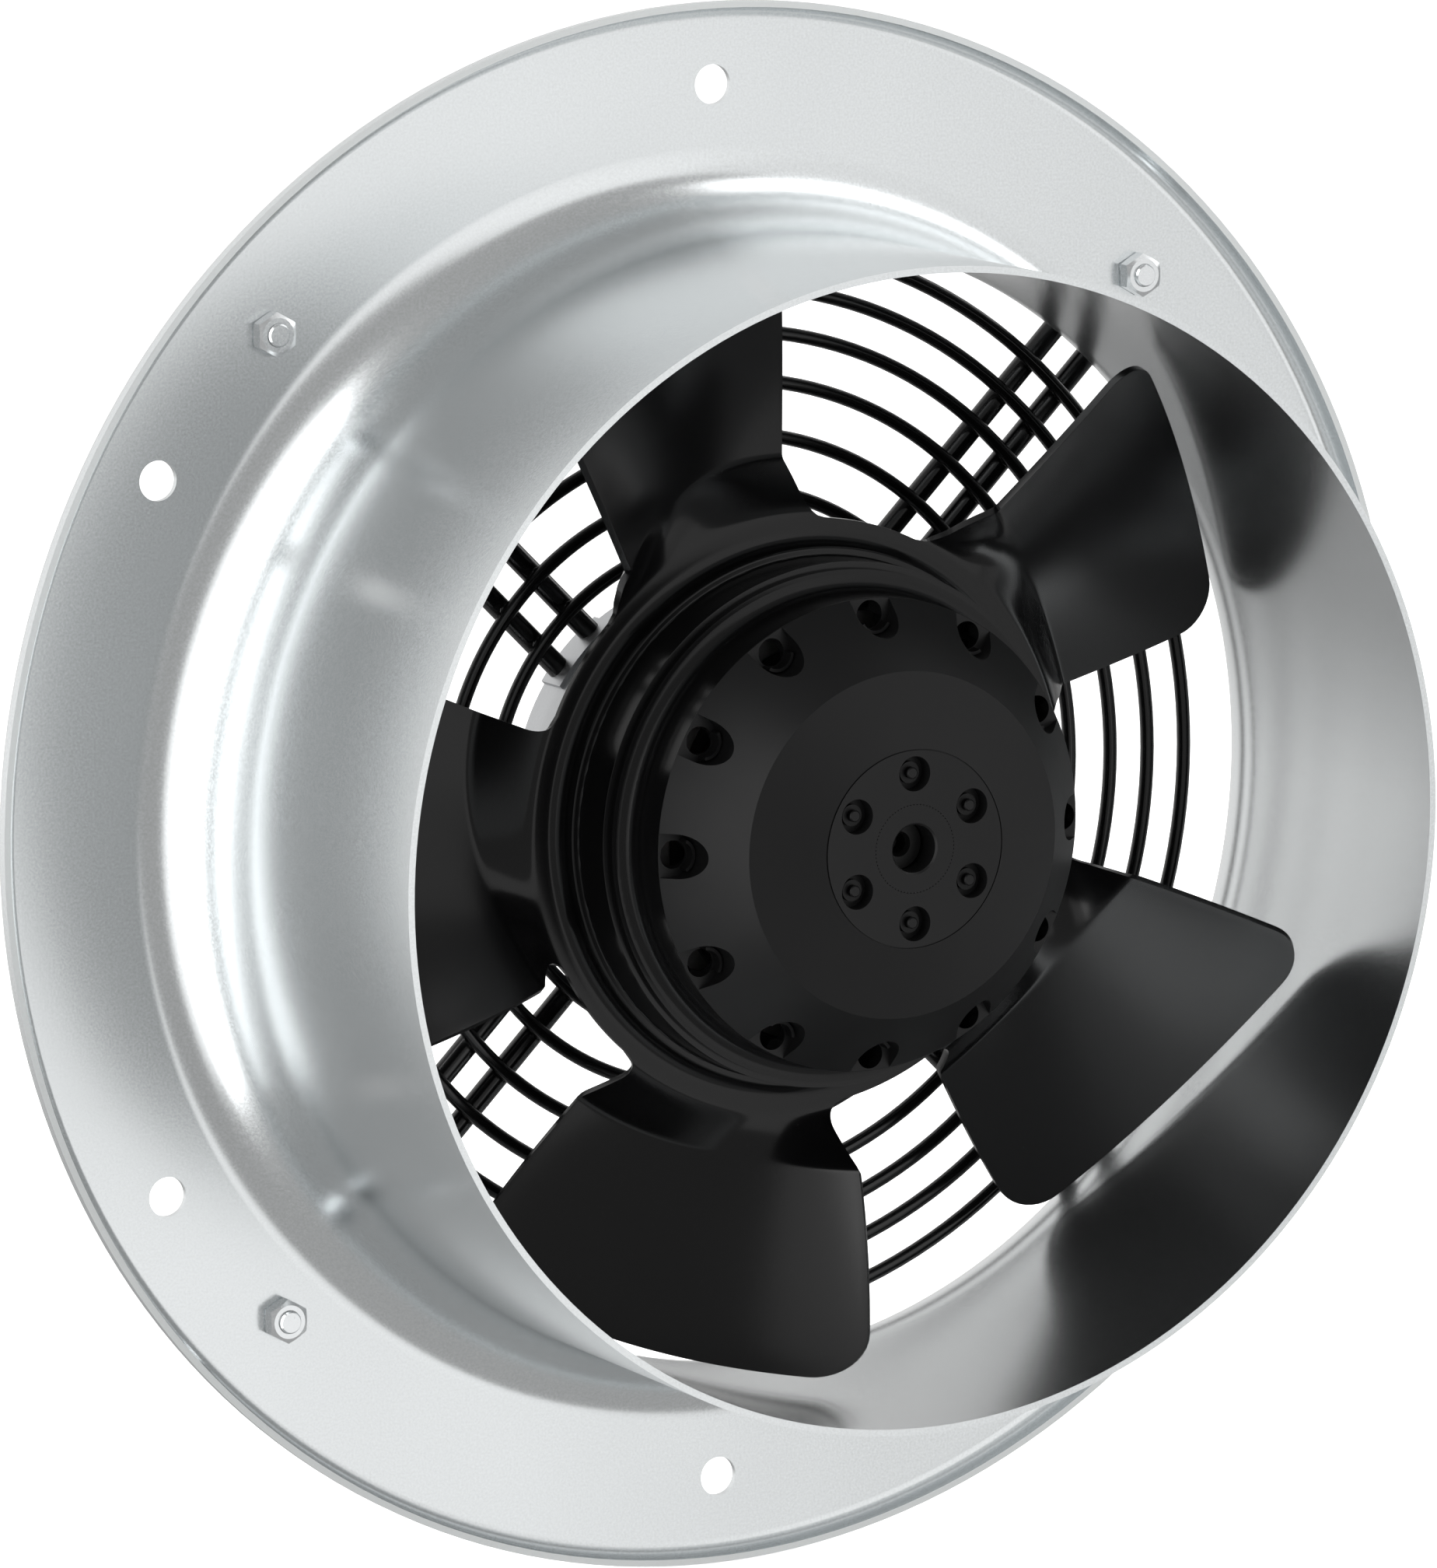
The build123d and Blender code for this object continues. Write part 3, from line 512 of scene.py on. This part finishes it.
class FAN_OT_finishes(bpy.types.Operator):
    """Makes every finish, and puts one on each CAD node that stays"""
    bl_idname = "fan.finishes"
    bl_label = "Finishes"

    def execute(self, context):
        looks = context.scene.fan_looks
        make_coating_texture()
        make_zinc_grain()
        rough = looks.zinc_rough
        metal("Galvanised sheet", looks.zinc, rough - 0.03, rough + 0.02, 0.11, 1800.0, 0.9)
        metal("Sheared edge", (0.80, 0.82, 0.82), 0.55, 0.65, 0.05)
        metal("Bright zinc plating", looks.plating, 0.20, 0.28, 0.03)
        metal("Bare die casting", looks.casting, 0.38, 0.5, 0.12, 900.0, 2.5)
        metal("Ground bearing steel", (0.66, 0.67, 0.68), 0.10, 0.16, 0.02)
        metal("Sheet edges", (0.36, 0.37, 0.39), 0.35, 0.5, 0.15, 700.0)
        metal("Varnished copper", (0.13, 0.045, 0.018), 0.28, 0.42, 0.2, 500.0, 2.0)
        painted_end(metal("Shaft steel", (0.60, 0.61, 0.62), 0.14, 0.2, 0.02))
        glossy_below_face(coated("Rotor coating", looks.rotor, 0.40, 0.48, 700.0, 0.5,
                                 shader={"Specular IOR Level": 0.25}))
        coated("Blade coating", looks.blade, 0.16, 0.22, 600.0, 0.2, dust=0.02,
               shader={"Specular IOR Level": 0.3})
        coated("Wire coating", looks.wire, 0.16, 0.24, 500.0, 0.5)
        coated("Gland plastic", (0.022, 0.022, 0.024), 0.42, 0.52, 1200.0, 0.8)
        coated("Seal rubber", (0.018, 0.018, 0.018), 0.65, 0.8, 1500.0, 1.2, dust=0.05)
        coated("Pale plastic", (0.72, 0.69, 0.60), 0.42, 0.55, 1000.0, 0.6)
        finishes = {part["node"]: SLOT_FINISHES[part["material_slot"]]
                    for part in frame["record"]["subparts"]}
        finishes.update(shaft="Shaft steel", shaft_circlip="Shaft steel")
        for node, finish in finishes.items():
            materials = NODES[node].data.materials
            materials.clear()
            materials.append(bpy.data.materials[finish])
        return {"FINISHED"}


# ---------------------------------------------------------------- studio

FLOOR_SIZE = 30.0
FLOOR_GAP = 0.2 * MM
FLOOR_GLOW = 0.8

# Brightness of the surroundings as the metal sees them, by direction
GLOW_IN_FRONT = 0.42
GLOW_BEHIND_LEFT, GLOW_BEHIND_RIGHT = 1.04, 0.86
SHARE_FROM_BELOW = 0.48
GLOW_COLOUR = (1.0, 0.995, 0.99)

# Azimuth and elevation, distance in metres, width and height as angles, and brightness
LIGHTS = {
    "light_left": (-80.0, 6.0, 1.9, 46.0, 100.0, 3.0),
    "light_left_edge": (-50.0, 4.0, 2.2, 14.0, 84.0, 0.8),
    "light_front_right": (18.0, 6.0, 2.4, 26.0, 80.0, 0.70),
    "light_far_right": (47.0, 8.0, 2.4, 30.0, 80.0, 0.48),
    "light_right": (88.0, 38.0, 1.9, 34.0, 52.0, 2.4),
}

CAMERA_PLACE = (-1.05976, -1.94493, 0.37661)
CAMERA_RIGHT = (0.87762569, -0.47933021, -0.00396357)
CAMERA_DOWN = (-0.08356935, -0.14485808, -0.98591698)
CAMERA_AHEAD = (0.47200564, 0.8655973, -0.16718848)
CAMERA_LENS = 227.545
CAMERA_SENSOR = 36.0


def soft_light(name, azimuth, elevation, distance, width, height, level):
    """A large area light that faces the fan. Level is its brightness as the metal sees it."""
    a, e = math.radians(azimuth), math.radians(elevation)
    toward = Vector((math.sin(a) * math.cos(e), -math.cos(a) * math.cos(e), math.sin(e)))
    light = bpy.data.lights.new(name, "AREA")
    light.shape = "RECTANGLE"
    light.size = 2.0 * distance * math.tan(math.radians(width / 2.0))
    light.size_y = 2.0 * distance * math.tan(math.radians(height / 2.0))
    light.energy = level * math.pi * light.size * light.size_y
    obj = bpy.data.objects.new(name, light)
    bpy.context.scene.collection.objects.link(obj)
    obj.location = toward * distance
    obj.rotation_mode = "QUATERNION"
    obj.rotation_quaternion = (-toward).to_track_quat("-Z", "Y")
    obj.visible_camera = False


def lay_floor(looks):
    """A pale floor that glows a little, so that it stays even under the fan."""
    deselect()
    bpy.ops.mesh.primitive_plane_add(size=FLOOR_SIZE, location=(0, 0, FLANGE_LOW_Z - FLOOR_GAP))
    floor = named("studio_floor")
    floor.visible_glossy = False
    paint = bpy.data.materials.new("Studio floor")
    paint.use_nodes = True
    paint.node_tree.nodes.clear()
    n = Nodes(paint.node_tree)
    both = n.add("ShaderNodeAddShader")
    n.link(n.add("ShaderNodeBsdfDiffuse", Color=looks.floor).outputs[0], both.inputs[0])
    n.link(n.add("ShaderNodeEmission", Strength=FLOOR_GLOW).outputs[0], both.inputs[1])
    n.link(both.outputs[0], n.add("ShaderNodeOutputMaterial").inputs["Surface"])
    floor.data.materials.append(paint)


def light_surroundings(scene):
    """White where the camera looks past the fan, and a soft uneven glow in its reflections."""
    world = bpy.data.worlds.new("Studio")
    scene.world = world
    world.use_nodes = True
    world.node_tree.nodes.clear()
    n = Nodes(world.node_tree)
    toward = n.axes(n.place("Generated"))
    across = n.spread(toward["X"], -0.35, 0.1, GLOW_BEHIND_LEFT, GLOW_BEHIND_RIGHT)
    upward = n.spread(toward["Z"], -0.45, -0.15, SHARE_FROM_BELOW, 1.0)
    behind = n.math("MULTIPLY", across, upward)
    glow = n.spread(toward["Y"], 0.35, 0.75, GLOW_IN_FRONT, behind)
    seen = n.add("ShaderNodeBackground", Color=(1.0, 1.0, 1.0), Strength=1.0)
    felt = n.add("ShaderNodeBackground", Color=GLOW_COLOUR, Strength=glow)
    mix = n.add("ShaderNodeMixShader")
    n.link(n.add("ShaderNodeLightPath").outputs["Is Camera Ray"], mix.inputs[0])
    n.link(felt.outputs[0], mix.inputs[1])
    n.link(seen.outputs[0], mix.inputs[2])
    n.link(mix.outputs[0], n.add("ShaderNodeOutputWorld").inputs["Surface"])


def place_camera(scene):
    """The camera stands where the photograph was taken from."""
    lens = bpy.data.cameras.new("photo_camera")
    lens.lens = CAMERA_LENS
    lens.sensor_width = CAMERA_SENSOR
    lens.clip_start, lens.clip_end = 0.1, 60.0
    camera = bpy.data.objects.new("photo_camera", lens)
    scene.collection.objects.link(camera)
    right, up, back = Vector(CAMERA_RIGHT), -Vector(CAMERA_DOWN), -Vector(CAMERA_AHEAD)
    turn = Matrix((right, up, back)).transposed().to_4x4()
    camera.matrix_world = Matrix.Translation(CAMERA_PLACE) @ turn
    scene.camera = camera


class FAN_OT_stage(bpy.types.Operator):
    """Sets the pale floor, the soft lights and the camera"""
    bl_idname = "fan.stage"
    bl_label = "Stage"

    def execute(self, context):
        scene = context.scene
        lay_floor(scene.fan_looks)
        light_surroundings(scene)
        for name, values in LIGHTS.items():
            soft_light(name, *values)
        place_camera(scene)
        scene.view_settings.view_transform = "Standard"
        return {"FINISHED"}


# ---------------------------------------------------------------- nozzle ring

CUT_DEPTH = 6.0 * MM        # how far a hole's cutter stands out of the flange
BOLT_HOLE_GAP = 0.3 * MM    # room round a guard bolt in its hole


def sheet_cuts(sheet, guard):
    """Cylinders where the wall holes and the guard bolt holes go through the flange."""
    bolt_hole_r = guard.bolt_r + BOLT_HOLE_GAP
    cutters = [bar("wall_hole", sheet.wall_hole_r, -CUT_DEPTH, CUT_DEPTH,
                   *round_axis(sheet.wall_hole_ring, turn)) for turn in WALL_HOLE_TURNS]
    cutters += [bar("bolt_hole", bolt_hole_r, -CUT_DEPTH, CUT_DEPTH,
                    *round_axis(guard.bolt_ring, turn), sides=32) for turn in ARM_TURNS]
    return join(cutters, "sheet_cuts")


class FAN_OT_nozzle(bpy.types.Operator):
    """Models the pressed nozzle ring with its bell, flange, collar and holes"""
    bl_idname = "fan.nozzle"
    bl_label = "Nozzle ring"

    def execute(self, context):
        s = context.scene.fan_sheet
        t = s.thickness
        wall_r = s.throat_r + t
        bell_r = wall_r + s.bell_spread
        inner_bend = s.collar_bend - t
        edge_r = FLANGE_R - t
        bend_r = edge_r - inner_bend
        # The straight wall and the flat flange have points of their own, which hold their shading
        wall_ys = [MOUTH_Y, MOUTH_Y * 0.8, MOUTH_Y * 0.5, -s.bell_reach - 4 * MM]
        face_rs = [bell_r + 6 * MM, bell_r + 22 * MM]
        front = [(wall_r, y) for y in wall_ys]
        front += arc(bell_r, -s.bell_reach, s.bell_spread, s.bell_reach, 180.0, 90.0, 28)
        front += [(r, 0.0) for r in face_rs]
        front += arc(bend_r, -inner_bend, inner_bend, inner_bend, 90.0, 0.0, 12)
        front += [(edge_r, -s.collar_height)]
        back = [(FLANGE_R, -s.collar_height)]
        back += arc(bend_r, -inner_bend, s.collar_bend, s.collar_bend, 0.0, 90.0, 14)
        back += [(r, t) for r in reversed(face_rs)]
        back += arc(bell_r, -s.bell_reach, s.bell_spread + t, s.bell_reach + t, 90.0, 180.0, 28)
        back += [(s.throat_r, y) for y in reversed(wall_ys)]
        ring = spun("nozzle_sheet", front + back, 192)
        combined(ring, "DIFFERENCE", sheet_cuts(s, context.scene.fan_guard))
        rounded(ring, s.edge_round, 50.0)
        smooth(ring, 40.0)
        handed_over(ring, "housing", "galvanised_sheet", "Galvanised sheet", "nozzle_ring")
        ring.data.materials.append(bpy.data.materials["Sheared edge"])
        near = 0.1 * MM
        for face in ring.data.polygons:
            x, y, z = face.center
            on_end = y < -s.collar_height + near / 2.0
            face.material_index = int(on_end and math.hypot(x, z) > edge_r + near)
        return {"FINISHED"}


# ---------------------------------------------------------------- guard

RING_COUNT = 7
WELD_SINK = 0.15 * MM       # how far a ring's wire sinks into the arms' wires
WELD_SHAPE = (0.92, 0.36, 0.92)
ARM_END_REACH = 13.0 * MM   # how far the arms go on inside the smallest ring


def arm_y(sheet, guard):
    """The arms' centre line, with the wires on the flange's back face."""
    return sheet.thickness + guard.arm_wire_r


def weld_bead(guard, y):
    """A flattened drop of weld where a ring crosses an arm's wire."""
    deselect()
    bpy.ops.mesh.primitive_uv_sphere_add(segments=14, ring_count=8, radius=guard.weld_reach,
                                         location=(0, 0, 0))
    bead = named("weld_bead")
    edit(bead)
    bpy.ops.transform.resize(value=WELD_SHAPE)
    bpy.ops.transform.translate(value=(0, y, 0))
    return done(bead)


class FAN_OT_guard_rings(bpy.types.Operator):
    """Models the wire rings and their welds to the arms"""
    bl_idname = "fan.guard_rings"
    bl_label = "Guard rings"

    def execute(self, context):
        sheet, guard = context.scene.fan_sheet, context.scene.fan_guard
        wire = guard.ring_wire_r
        y = sheet.thickness - wire + WELD_SINK
        bead = weld_bead(guard, sheet.thickness + 0.1 * MM)
        for k in range(1, RING_COUNT + 1):
            node = "guard_ring_%d" % k
            radius = reach(node, 0, 1) - wire
            across = math.sqrt(radius ** 2 - guard.arm_half_pitch ** 2)
            outline = arc(radius, y, wire, wire, 0.0, 345.0, 23)
            ring = smooth(spun(node + "_wire", outline, 160), 60.0)
            welds = [turned_by(moved_by(copy_of(bead, "weld"), across, side), turn)
                     for turn in ARM_TURNS
                     for side in (-guard.arm_half_pitch, guard.arm_half_pitch)]
            ring = smooth(join([ring] + welds, node + "_wire"), 60.0)
            handed_over(ring, "housing", "guard_wire", "Wire coating", node)
        bpy.data.objects.remove(bead)
        return {"FINISHED"}


class FAN_OT_guard_arms(bpy.types.Operator):
    """Models the four hairpin arms that carry the rings and the motor"""
    bl_idname = "fan.guard_arms"
    bl_label = "Guard arms"

    def execute(self, context):
        sheet, guard = context.scene.fan_sheet, context.scene.fan_guard
        y = arm_y(sheet, guard)
        inner = reach("guard_ring_1", 0, 1) - ARM_END_REACH
        run = guard.bolt_ring - inner
        deselect()
        bpy.ops.mesh.primitive_circle_add(
            vertices=28, radius=guard.arm_wire_r, fill_type="NOTHING",
            location=(inner, y, guard.arm_half_pitch), rotation=(0, math.radians(90), 0))
        bpy.ops.object.transform_apply(location=True, rotation=True, scale=True)
        arm = named("guard_arm_wire")
        edit(arm)
        bpy.ops.mesh.extrude_region_move(TRANSFORM_OT_translate={"value": (run, 0, 0)})
        bpy.ops.mesh.spin(steps=20, angle=math.pi, center=(guard.bolt_ring, y, 0), axis=(0, 1, 0))
        bpy.ops.mesh.extrude_region_move(TRANSFORM_OT_translate={"value": (-run, 0, 0)})
        bpy.ops.mesh.select_all(action="SELECT")
        bpy.ops.mesh.remove_doubles(threshold=JOINED)
        bpy.ops.mesh.fill_holes(sides=0)
        bpy.ops.mesh.normals_make_consistent(inside=False)
        done(arm)
        rounded(arm, 0.25 * MM, 60.0)
        smooth(arm, 50.0)
        for k, turn in enumerate(ARM_TURNS, 1):
            node = "guard_arm_%d" % k
            one = turned_by(copy_of(arm, node + "_wire"), turn)
            handed_over(one, "housing", "guard_wire", "Wire coating", node)
        bpy.data.objects.remove(arm)
        return {"FINISHED"}


# ---------------------------------------------------------------- guard fasteners

CHAMFER_WIDTH, CHAMFER_DROP = 0.25, 0.14    # shares of a hexagon's corner radius
THREAD_PITCH, THREAD_DEPTH = 0.8 * MM, 0.42 * MM
THREAD_FORM = ((0.15, 0.0), (0.35, 0.0), (0.72, 1.0), (0.85, 1.0))  # shares of pitch and depth


def hexagon(name, flats, y0, y1, chamfer_low):
    """A hexagon along the fan's direction with turned corner chamfers."""
    corner = flats / math.sqrt(3.0)
    face_r, drop = corner * (1.0 - CHAMFER_WIDTH), corner * CHAMFER_DROP
    clear_r = corner + 0.02 * MM
    body = bar(name, corner, y0, y1, sides=6)
    low = [(0.0, y0), (face_r, y0), (clear_r, y0 + drop)]
    if not chamfer_low:
        low = [(0.0, y0 - MM), (clear_r, y0 - MM)]
    high = [(clear_r, y1 - drop), (face_r, y1), (0.0, y1)]
    return combined(body, "INTERSECT", spun("turned_shape", low + high, 72))


def nut_bore(guard):
    """What is cut out of a nut, widening where the nut sits on the flange."""
    outside, snug = -guard.nut_height, guard.bolt_r + 0.05 * MM
    outline = [(0.0, outside - MM), (guard.bolt_r + 0.1 * MM, outside - 0.4 * MM),
               (snug, outside + 0.5 * MM), (snug, -0.4 * MM),
               (guard.bolt_r + 0.6 * MM, 0.2 * MM), (0.0, MM)]
    return spun("bore", outline, 48)


def threaded_shank(r, end, head_y):
    """A bolt's shank with a chamfered end and a thread's rings up to its head."""
    outline = [(0.0, end), (r - 0.35 * MM, end), (r - 0.03 * MM, end + 0.38 * MM)]
    turn = end + 0.55 * MM
    while turn + THREAD_PITCH < head_y - 0.3 * MM:
        outline += [(r - deep * THREAD_DEPTH, turn + along * THREAD_PITCH)
                    for along, deep in THREAD_FORM]
        turn += THREAD_PITCH
    inside_head = head_y + 0.5 * MM
    outline += [(r, head_y), (r, inside_head), (0.0, inside_head)]
    return spun("shank", outline, 40)


def at_bolts(piece, name, node, bolt_ring):
    """Copies one fastener, corners up, to the four guard bolts."""
    copies = [moved_by(copy_of(piece, name), *round_axis(bolt_ring, turn)) for turn in ARM_TURNS]
    bpy.data.objects.remove(piece)
    fasteners = smooth(join(copies, name), 24.0)
    return handed_over(fasteners, "housing", "zinc_fastener", "Bright zinc plating", node)


class FAN_OT_guard_fasteners(bpy.types.Operator):
    """Models the guard's bolts, washers and nuts"""
    bl_idname = "fan.guard_fasteners"
    bl_label = "Guard fasteners"

    def execute(self, context):
        sheet, guard = context.scene.fan_sheet, context.scene.fan_guard
        flats = guard.nut_flats
        nut = hexagon("nut", flats, -guard.nut_height, 0.0, chamfer_low=True)
        combined(nut, "DIFFERENCE", nut_bore(guard))
        rounded(nut, 0.09 * MM, 20.0)
        at_bolts(nut, "guard_nut_set", "guard_nuts", guard.bolt_ring)
        seat = arm_y(sheet, guard) + guard.arm_wire_r
        head_y = seat + guard.washer_t
        hole_r = guard.bolt_r + 0.2 * MM
        washer = spun("washer", [(hole_r, seat), (hole_r, head_y),
                                 (guard.washer_r, head_y), (guard.washer_r, seat)], 64)
        rounded(washer, 0.2 * MM, 40.0)
        at_bolts(washer, "guard_washer_set", "guard_washers", guard.bolt_ring)
        head = hexagon("bolt", flats, head_y, head_y + guard.bolt_head, chamfer_low=False)
        shank = threaded_shank(guard.bolt_r, -sheet.collar_height, head_y)
        at_bolts(join([head, shank], "bolt"), "guard_bolt_set", "guard_bolts", guard.bolt_ring)
        return {"FINISHED"}


# ---------------------------------------------------------------- impeller

# Places of the hub's front along the fan axis, and the radii of its bends, in mm
LIP_Y, STEP_Y, FACE_Y = -56.6, -45.6, -39.8
STEP_BEND, FACE_BEND = 0.6, 3.0

# A blade's edges and surface, in mm and degrees. Each has its value at the middle radius, and
# how it grows with the distance from there and with that distance squared, in half spans.
MIDDLE_R, HALF_SPAN, HALF_TURN = 93.5, 34.0, 20.0
NEAR_TURN, FAR_TURN = (21.9, -2.75, 0.5), (-19.8, -0.8, 1.0)
NEAR_Y, FAR_Y = (-60.6, -9.7, 3.45), (-23.75, 4.8, -1.4)
CAMBER = (-6.6, -1.5, 0.0)

# The pressed flank between the hub ring and a blade: where it starts outside the ring, the
# radius of its crest, and how softly it bends at its foot and at its crest
FLANK_START, CREST_R = 0.6, 78.7
FOOT_SOFT, CREST_SOFT = 0.14, 0.08

# The sheet's points: across a blade, between two blades, and out along a blade
ACROSS, BETWEEN = 56, 24
ROOT_BAND, ROOT_ROWS, BLADE_ROWS, CORNER_ROWS = 22.0, 40, 18, 10


def grown(r, start, rise, curve):
    """One of a blade's values at a radius in mm."""
    u = (r - MIDDLE_R) / HALF_SPAN
    return start + rise * u + curve * u * u


def blade_surface(r, turn):
    """Y of a blade's pressed front: straight between its edges, hollowed by the camber."""
    s = turn / HALF_TURN
    near, far = grown(r, *NEAR_TURN) / HALF_TURN, grown(r, *FAR_TURN) / HALF_TURN
    straight = (grown(r, *NEAR_Y) * (s - far) + grown(r, *FAR_Y) * (near - s)) / (near - far)
    return straight + grown(r, *CAMBER) * (s - near) * (s - far)


def round_off(radius, along):
    """How far a rounding has left its side after a run along it."""
    return radius - math.sqrt(max(radius ** 2 - max(along, 0.0) ** 2, 0.0))


def blade_sides(r, wheel):
    """Turns of a blade's two sides, drawn in by the tip's corners and widened by the root."""
    tip, root = wheel.tip_r / MM, wheel.hub_r / MM
    corner, fillet = wheel.corner_r / MM, wheel.root_r / MM
    widen = round_off(fillet, fillet - r + root) - round_off(corner, r - tip + corner)
    side = math.degrees(widen / r)
    return grown(r, *FAR_TURN) - side, grown(r, *NEAR_TURN) + side


def pressed(r, turn, foot):
    """The blade's surface, reached from the flat ring over a flank between two circles."""
    along = max((r - foot) / (CREST_R - foot), 0.0)
    rise = math.sqrt(along ** 2 + FOOT_SOFT ** 2) - FOOT_SOFT
    climb = rise / (math.sqrt(1.0 + FOOT_SOFT ** 2) - FOOT_SOFT)
    h = min(max(0.5 + 0.5 * (1.0 - climb) / CREST_SOFT, 0.0), 1.0)
    climb = climb * h + (1.0 - h) - CREST_SOFT * h * (1.0 - h)
    return FACE_Y + climb * (blade_surface(r, turn) - FACE_Y)


def hub_profile(wheel):
    """The hub's front from its collar's lip over the step to the flat ring, in mm."""
    collar, step, root = wheel.collar_r / MM, wheel.step_r / MM, wheel.hub_r / MM
    small, large = STEP_BEND, FACE_BEND
    profile = [(collar, y) for y in spaced(LIP_Y, STEP_Y - small, 6)]
    profile += arc(collar + small, STEP_Y - small, small, small, 180.0, 90.0, 3)[1:]
    profile += arc(step - small, STEP_Y + small, small, small, 270.0, 360.0, 4)
    profile += arc(step + large, FACE_Y - large, large, large, 180.0, 90.0, 8)
    return profile + [(r, FACE_Y) for r in spaced(step + large, root, 4)][1:]


def blade_radii(wheel):
    """Radii of a blade's rows of points, close at its root and at the tip's corners, in mm."""
    root, corner = wheel.hub_r / MM, wheel.corner_r / MM
    shoulder = wheel.tip_r / MM - corner
    radii = spaced(root, root + ROOT_BAND, ROOT_ROWS)[1:]
    radii += spaced(root + ROOT_BAND, shoulder, BLADE_ROWS)[1:]
    turns = spaced(0.0, 90.0, CORNER_ROWS)[1:]
    return radii + [shoulder + corner * math.sin(math.radians(turn)) for turn in turns]


class FAN_OT_impeller(bpy.types.Operator):
    """Models the pressed wheel as one sheet: collar, step, hub ring and blades"""
    bl_idname = "fan.impeller"
    bl_label = "Impeller"

    def execute(self, context):
        wheel = context.scene.fan_wheel
        profile, radii = hub_profile(wheel), blade_radii(wheel)
        root = wheel.hub_r / MM
        pitch = 360.0 / wheel.blade_count
        low, high = blade_sides(root, wheel)
        turns = spaced(low, high, ACROSS)[:-1] + spaced(high, low + pitch, BETWEEN)[:-1]
        starts = [pitch * blade for blade in range(wheel.blade_count)]
        mesh = bmesh.new()

        def point(r, y, degrees):
            x, z = round_axis(r, degrees + math.degrees(wheel.blade_phase))
            return mesh.verts.new((x * MM, y * MM, z * MM))

        ring = [[point(r, y, turn + start) for r, y in profile]
                for start in starts for turn in turns]
        for one, two in zip(ring, ring[1:] + ring[:1]):
            for k in range(len(profile) - 1):
                mesh.faces.new((one[k], one[k + 1], two[k + 1], two[k]))
        for blade, start in enumerate(starts):
            first = blade * len(turns)
            below = [ring[(first + k) % len(ring)][-1] for k in range(ACROSS + 1)]
            for r in radii:
                row = [point(r, pressed(r, turn, root + FLANK_START), turn + start)
                       for turn in spaced(*blade_sides(r, wheel), ACROSS)]
                for k in range(ACROSS):
                    mesh.faces.new((below[k], row[k], row[k + 1], below[k + 1]))
                below = row
        data = bpy.data.meshes.new("pressed_wheel")
        mesh.to_mesh(data)
        mesh.free()
        disc = bpy.data.objects.new("pressed_wheel", data)
        context.scene.collection.objects.link(disc)
        edit(disc)
        bpy.ops.mesh.normals_make_consistent(inside=False)
        done(disc)
        if max(data.polygons, key=lambda face: face.area).normal.y > 0.0:
            data.flip_normals()
        modifier(disc, "SOLIDIFY", thickness=wheel.thickness, offset=-1.0, use_even_offset=True)
        rounded(disc, 0.3 * MM, 55.0)
        smooth(disc, 30.0)
        handed_over(disc, "rotor", "blade_black", "Blade coating", "impeller")
        return {"FINISHED"}


# ---------------------------------------------------------------- panel and main

STEPS = (
    FAN_OT_finishes, FAN_OT_stage, FAN_OT_nozzle, FAN_OT_guard_rings, FAN_OT_guard_arms,
    FAN_OT_guard_fasteners, FAN_OT_impeller,
)


class FAN_PT_panel(bpy.types.Panel):
    """Lists the fan's pieces and their sizes"""
    bl_idname = "FAN_PT_panel"
    bl_label = "Axial wall fan"
    bl_space_type = "VIEW_3D"
    bl_region_type = "UI"
    bl_category = "Wall Fan"

    def draw(self, context):
        for step in STEPS:
            self.layout.operator(step.bl_idname)
        for name, group in GROUPS:
            box = self.layout.box()
            box.label(text=group.__doc__)
            for key in group.__annotations__:
                box.prop(getattr(context.scene, name), key)


def register():
    for name, group in GROUPS:
        bpy.utils.register_class(group)
        setattr(bpy.types.Scene, name, PointerProperty(type=group))
    for step in STEPS + (FAN_PT_panel,):
        bpy.utils.register_class(step)


def unregister():
    for step in reversed(STEPS + (FAN_PT_panel,)):
        bpy.utils.unregister_class(step)
    for name, group in reversed(GROUPS):
        delattr(bpy.types.Scene, name)
        bpy.utils.unregister_class(group)


def main():
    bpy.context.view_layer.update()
    register()
    for step in STEPS:
        group, action = step.bl_idname.split(".")
        getattr(getattr(bpy.ops, group), action)()


if __name__ == "__main__":
    main()
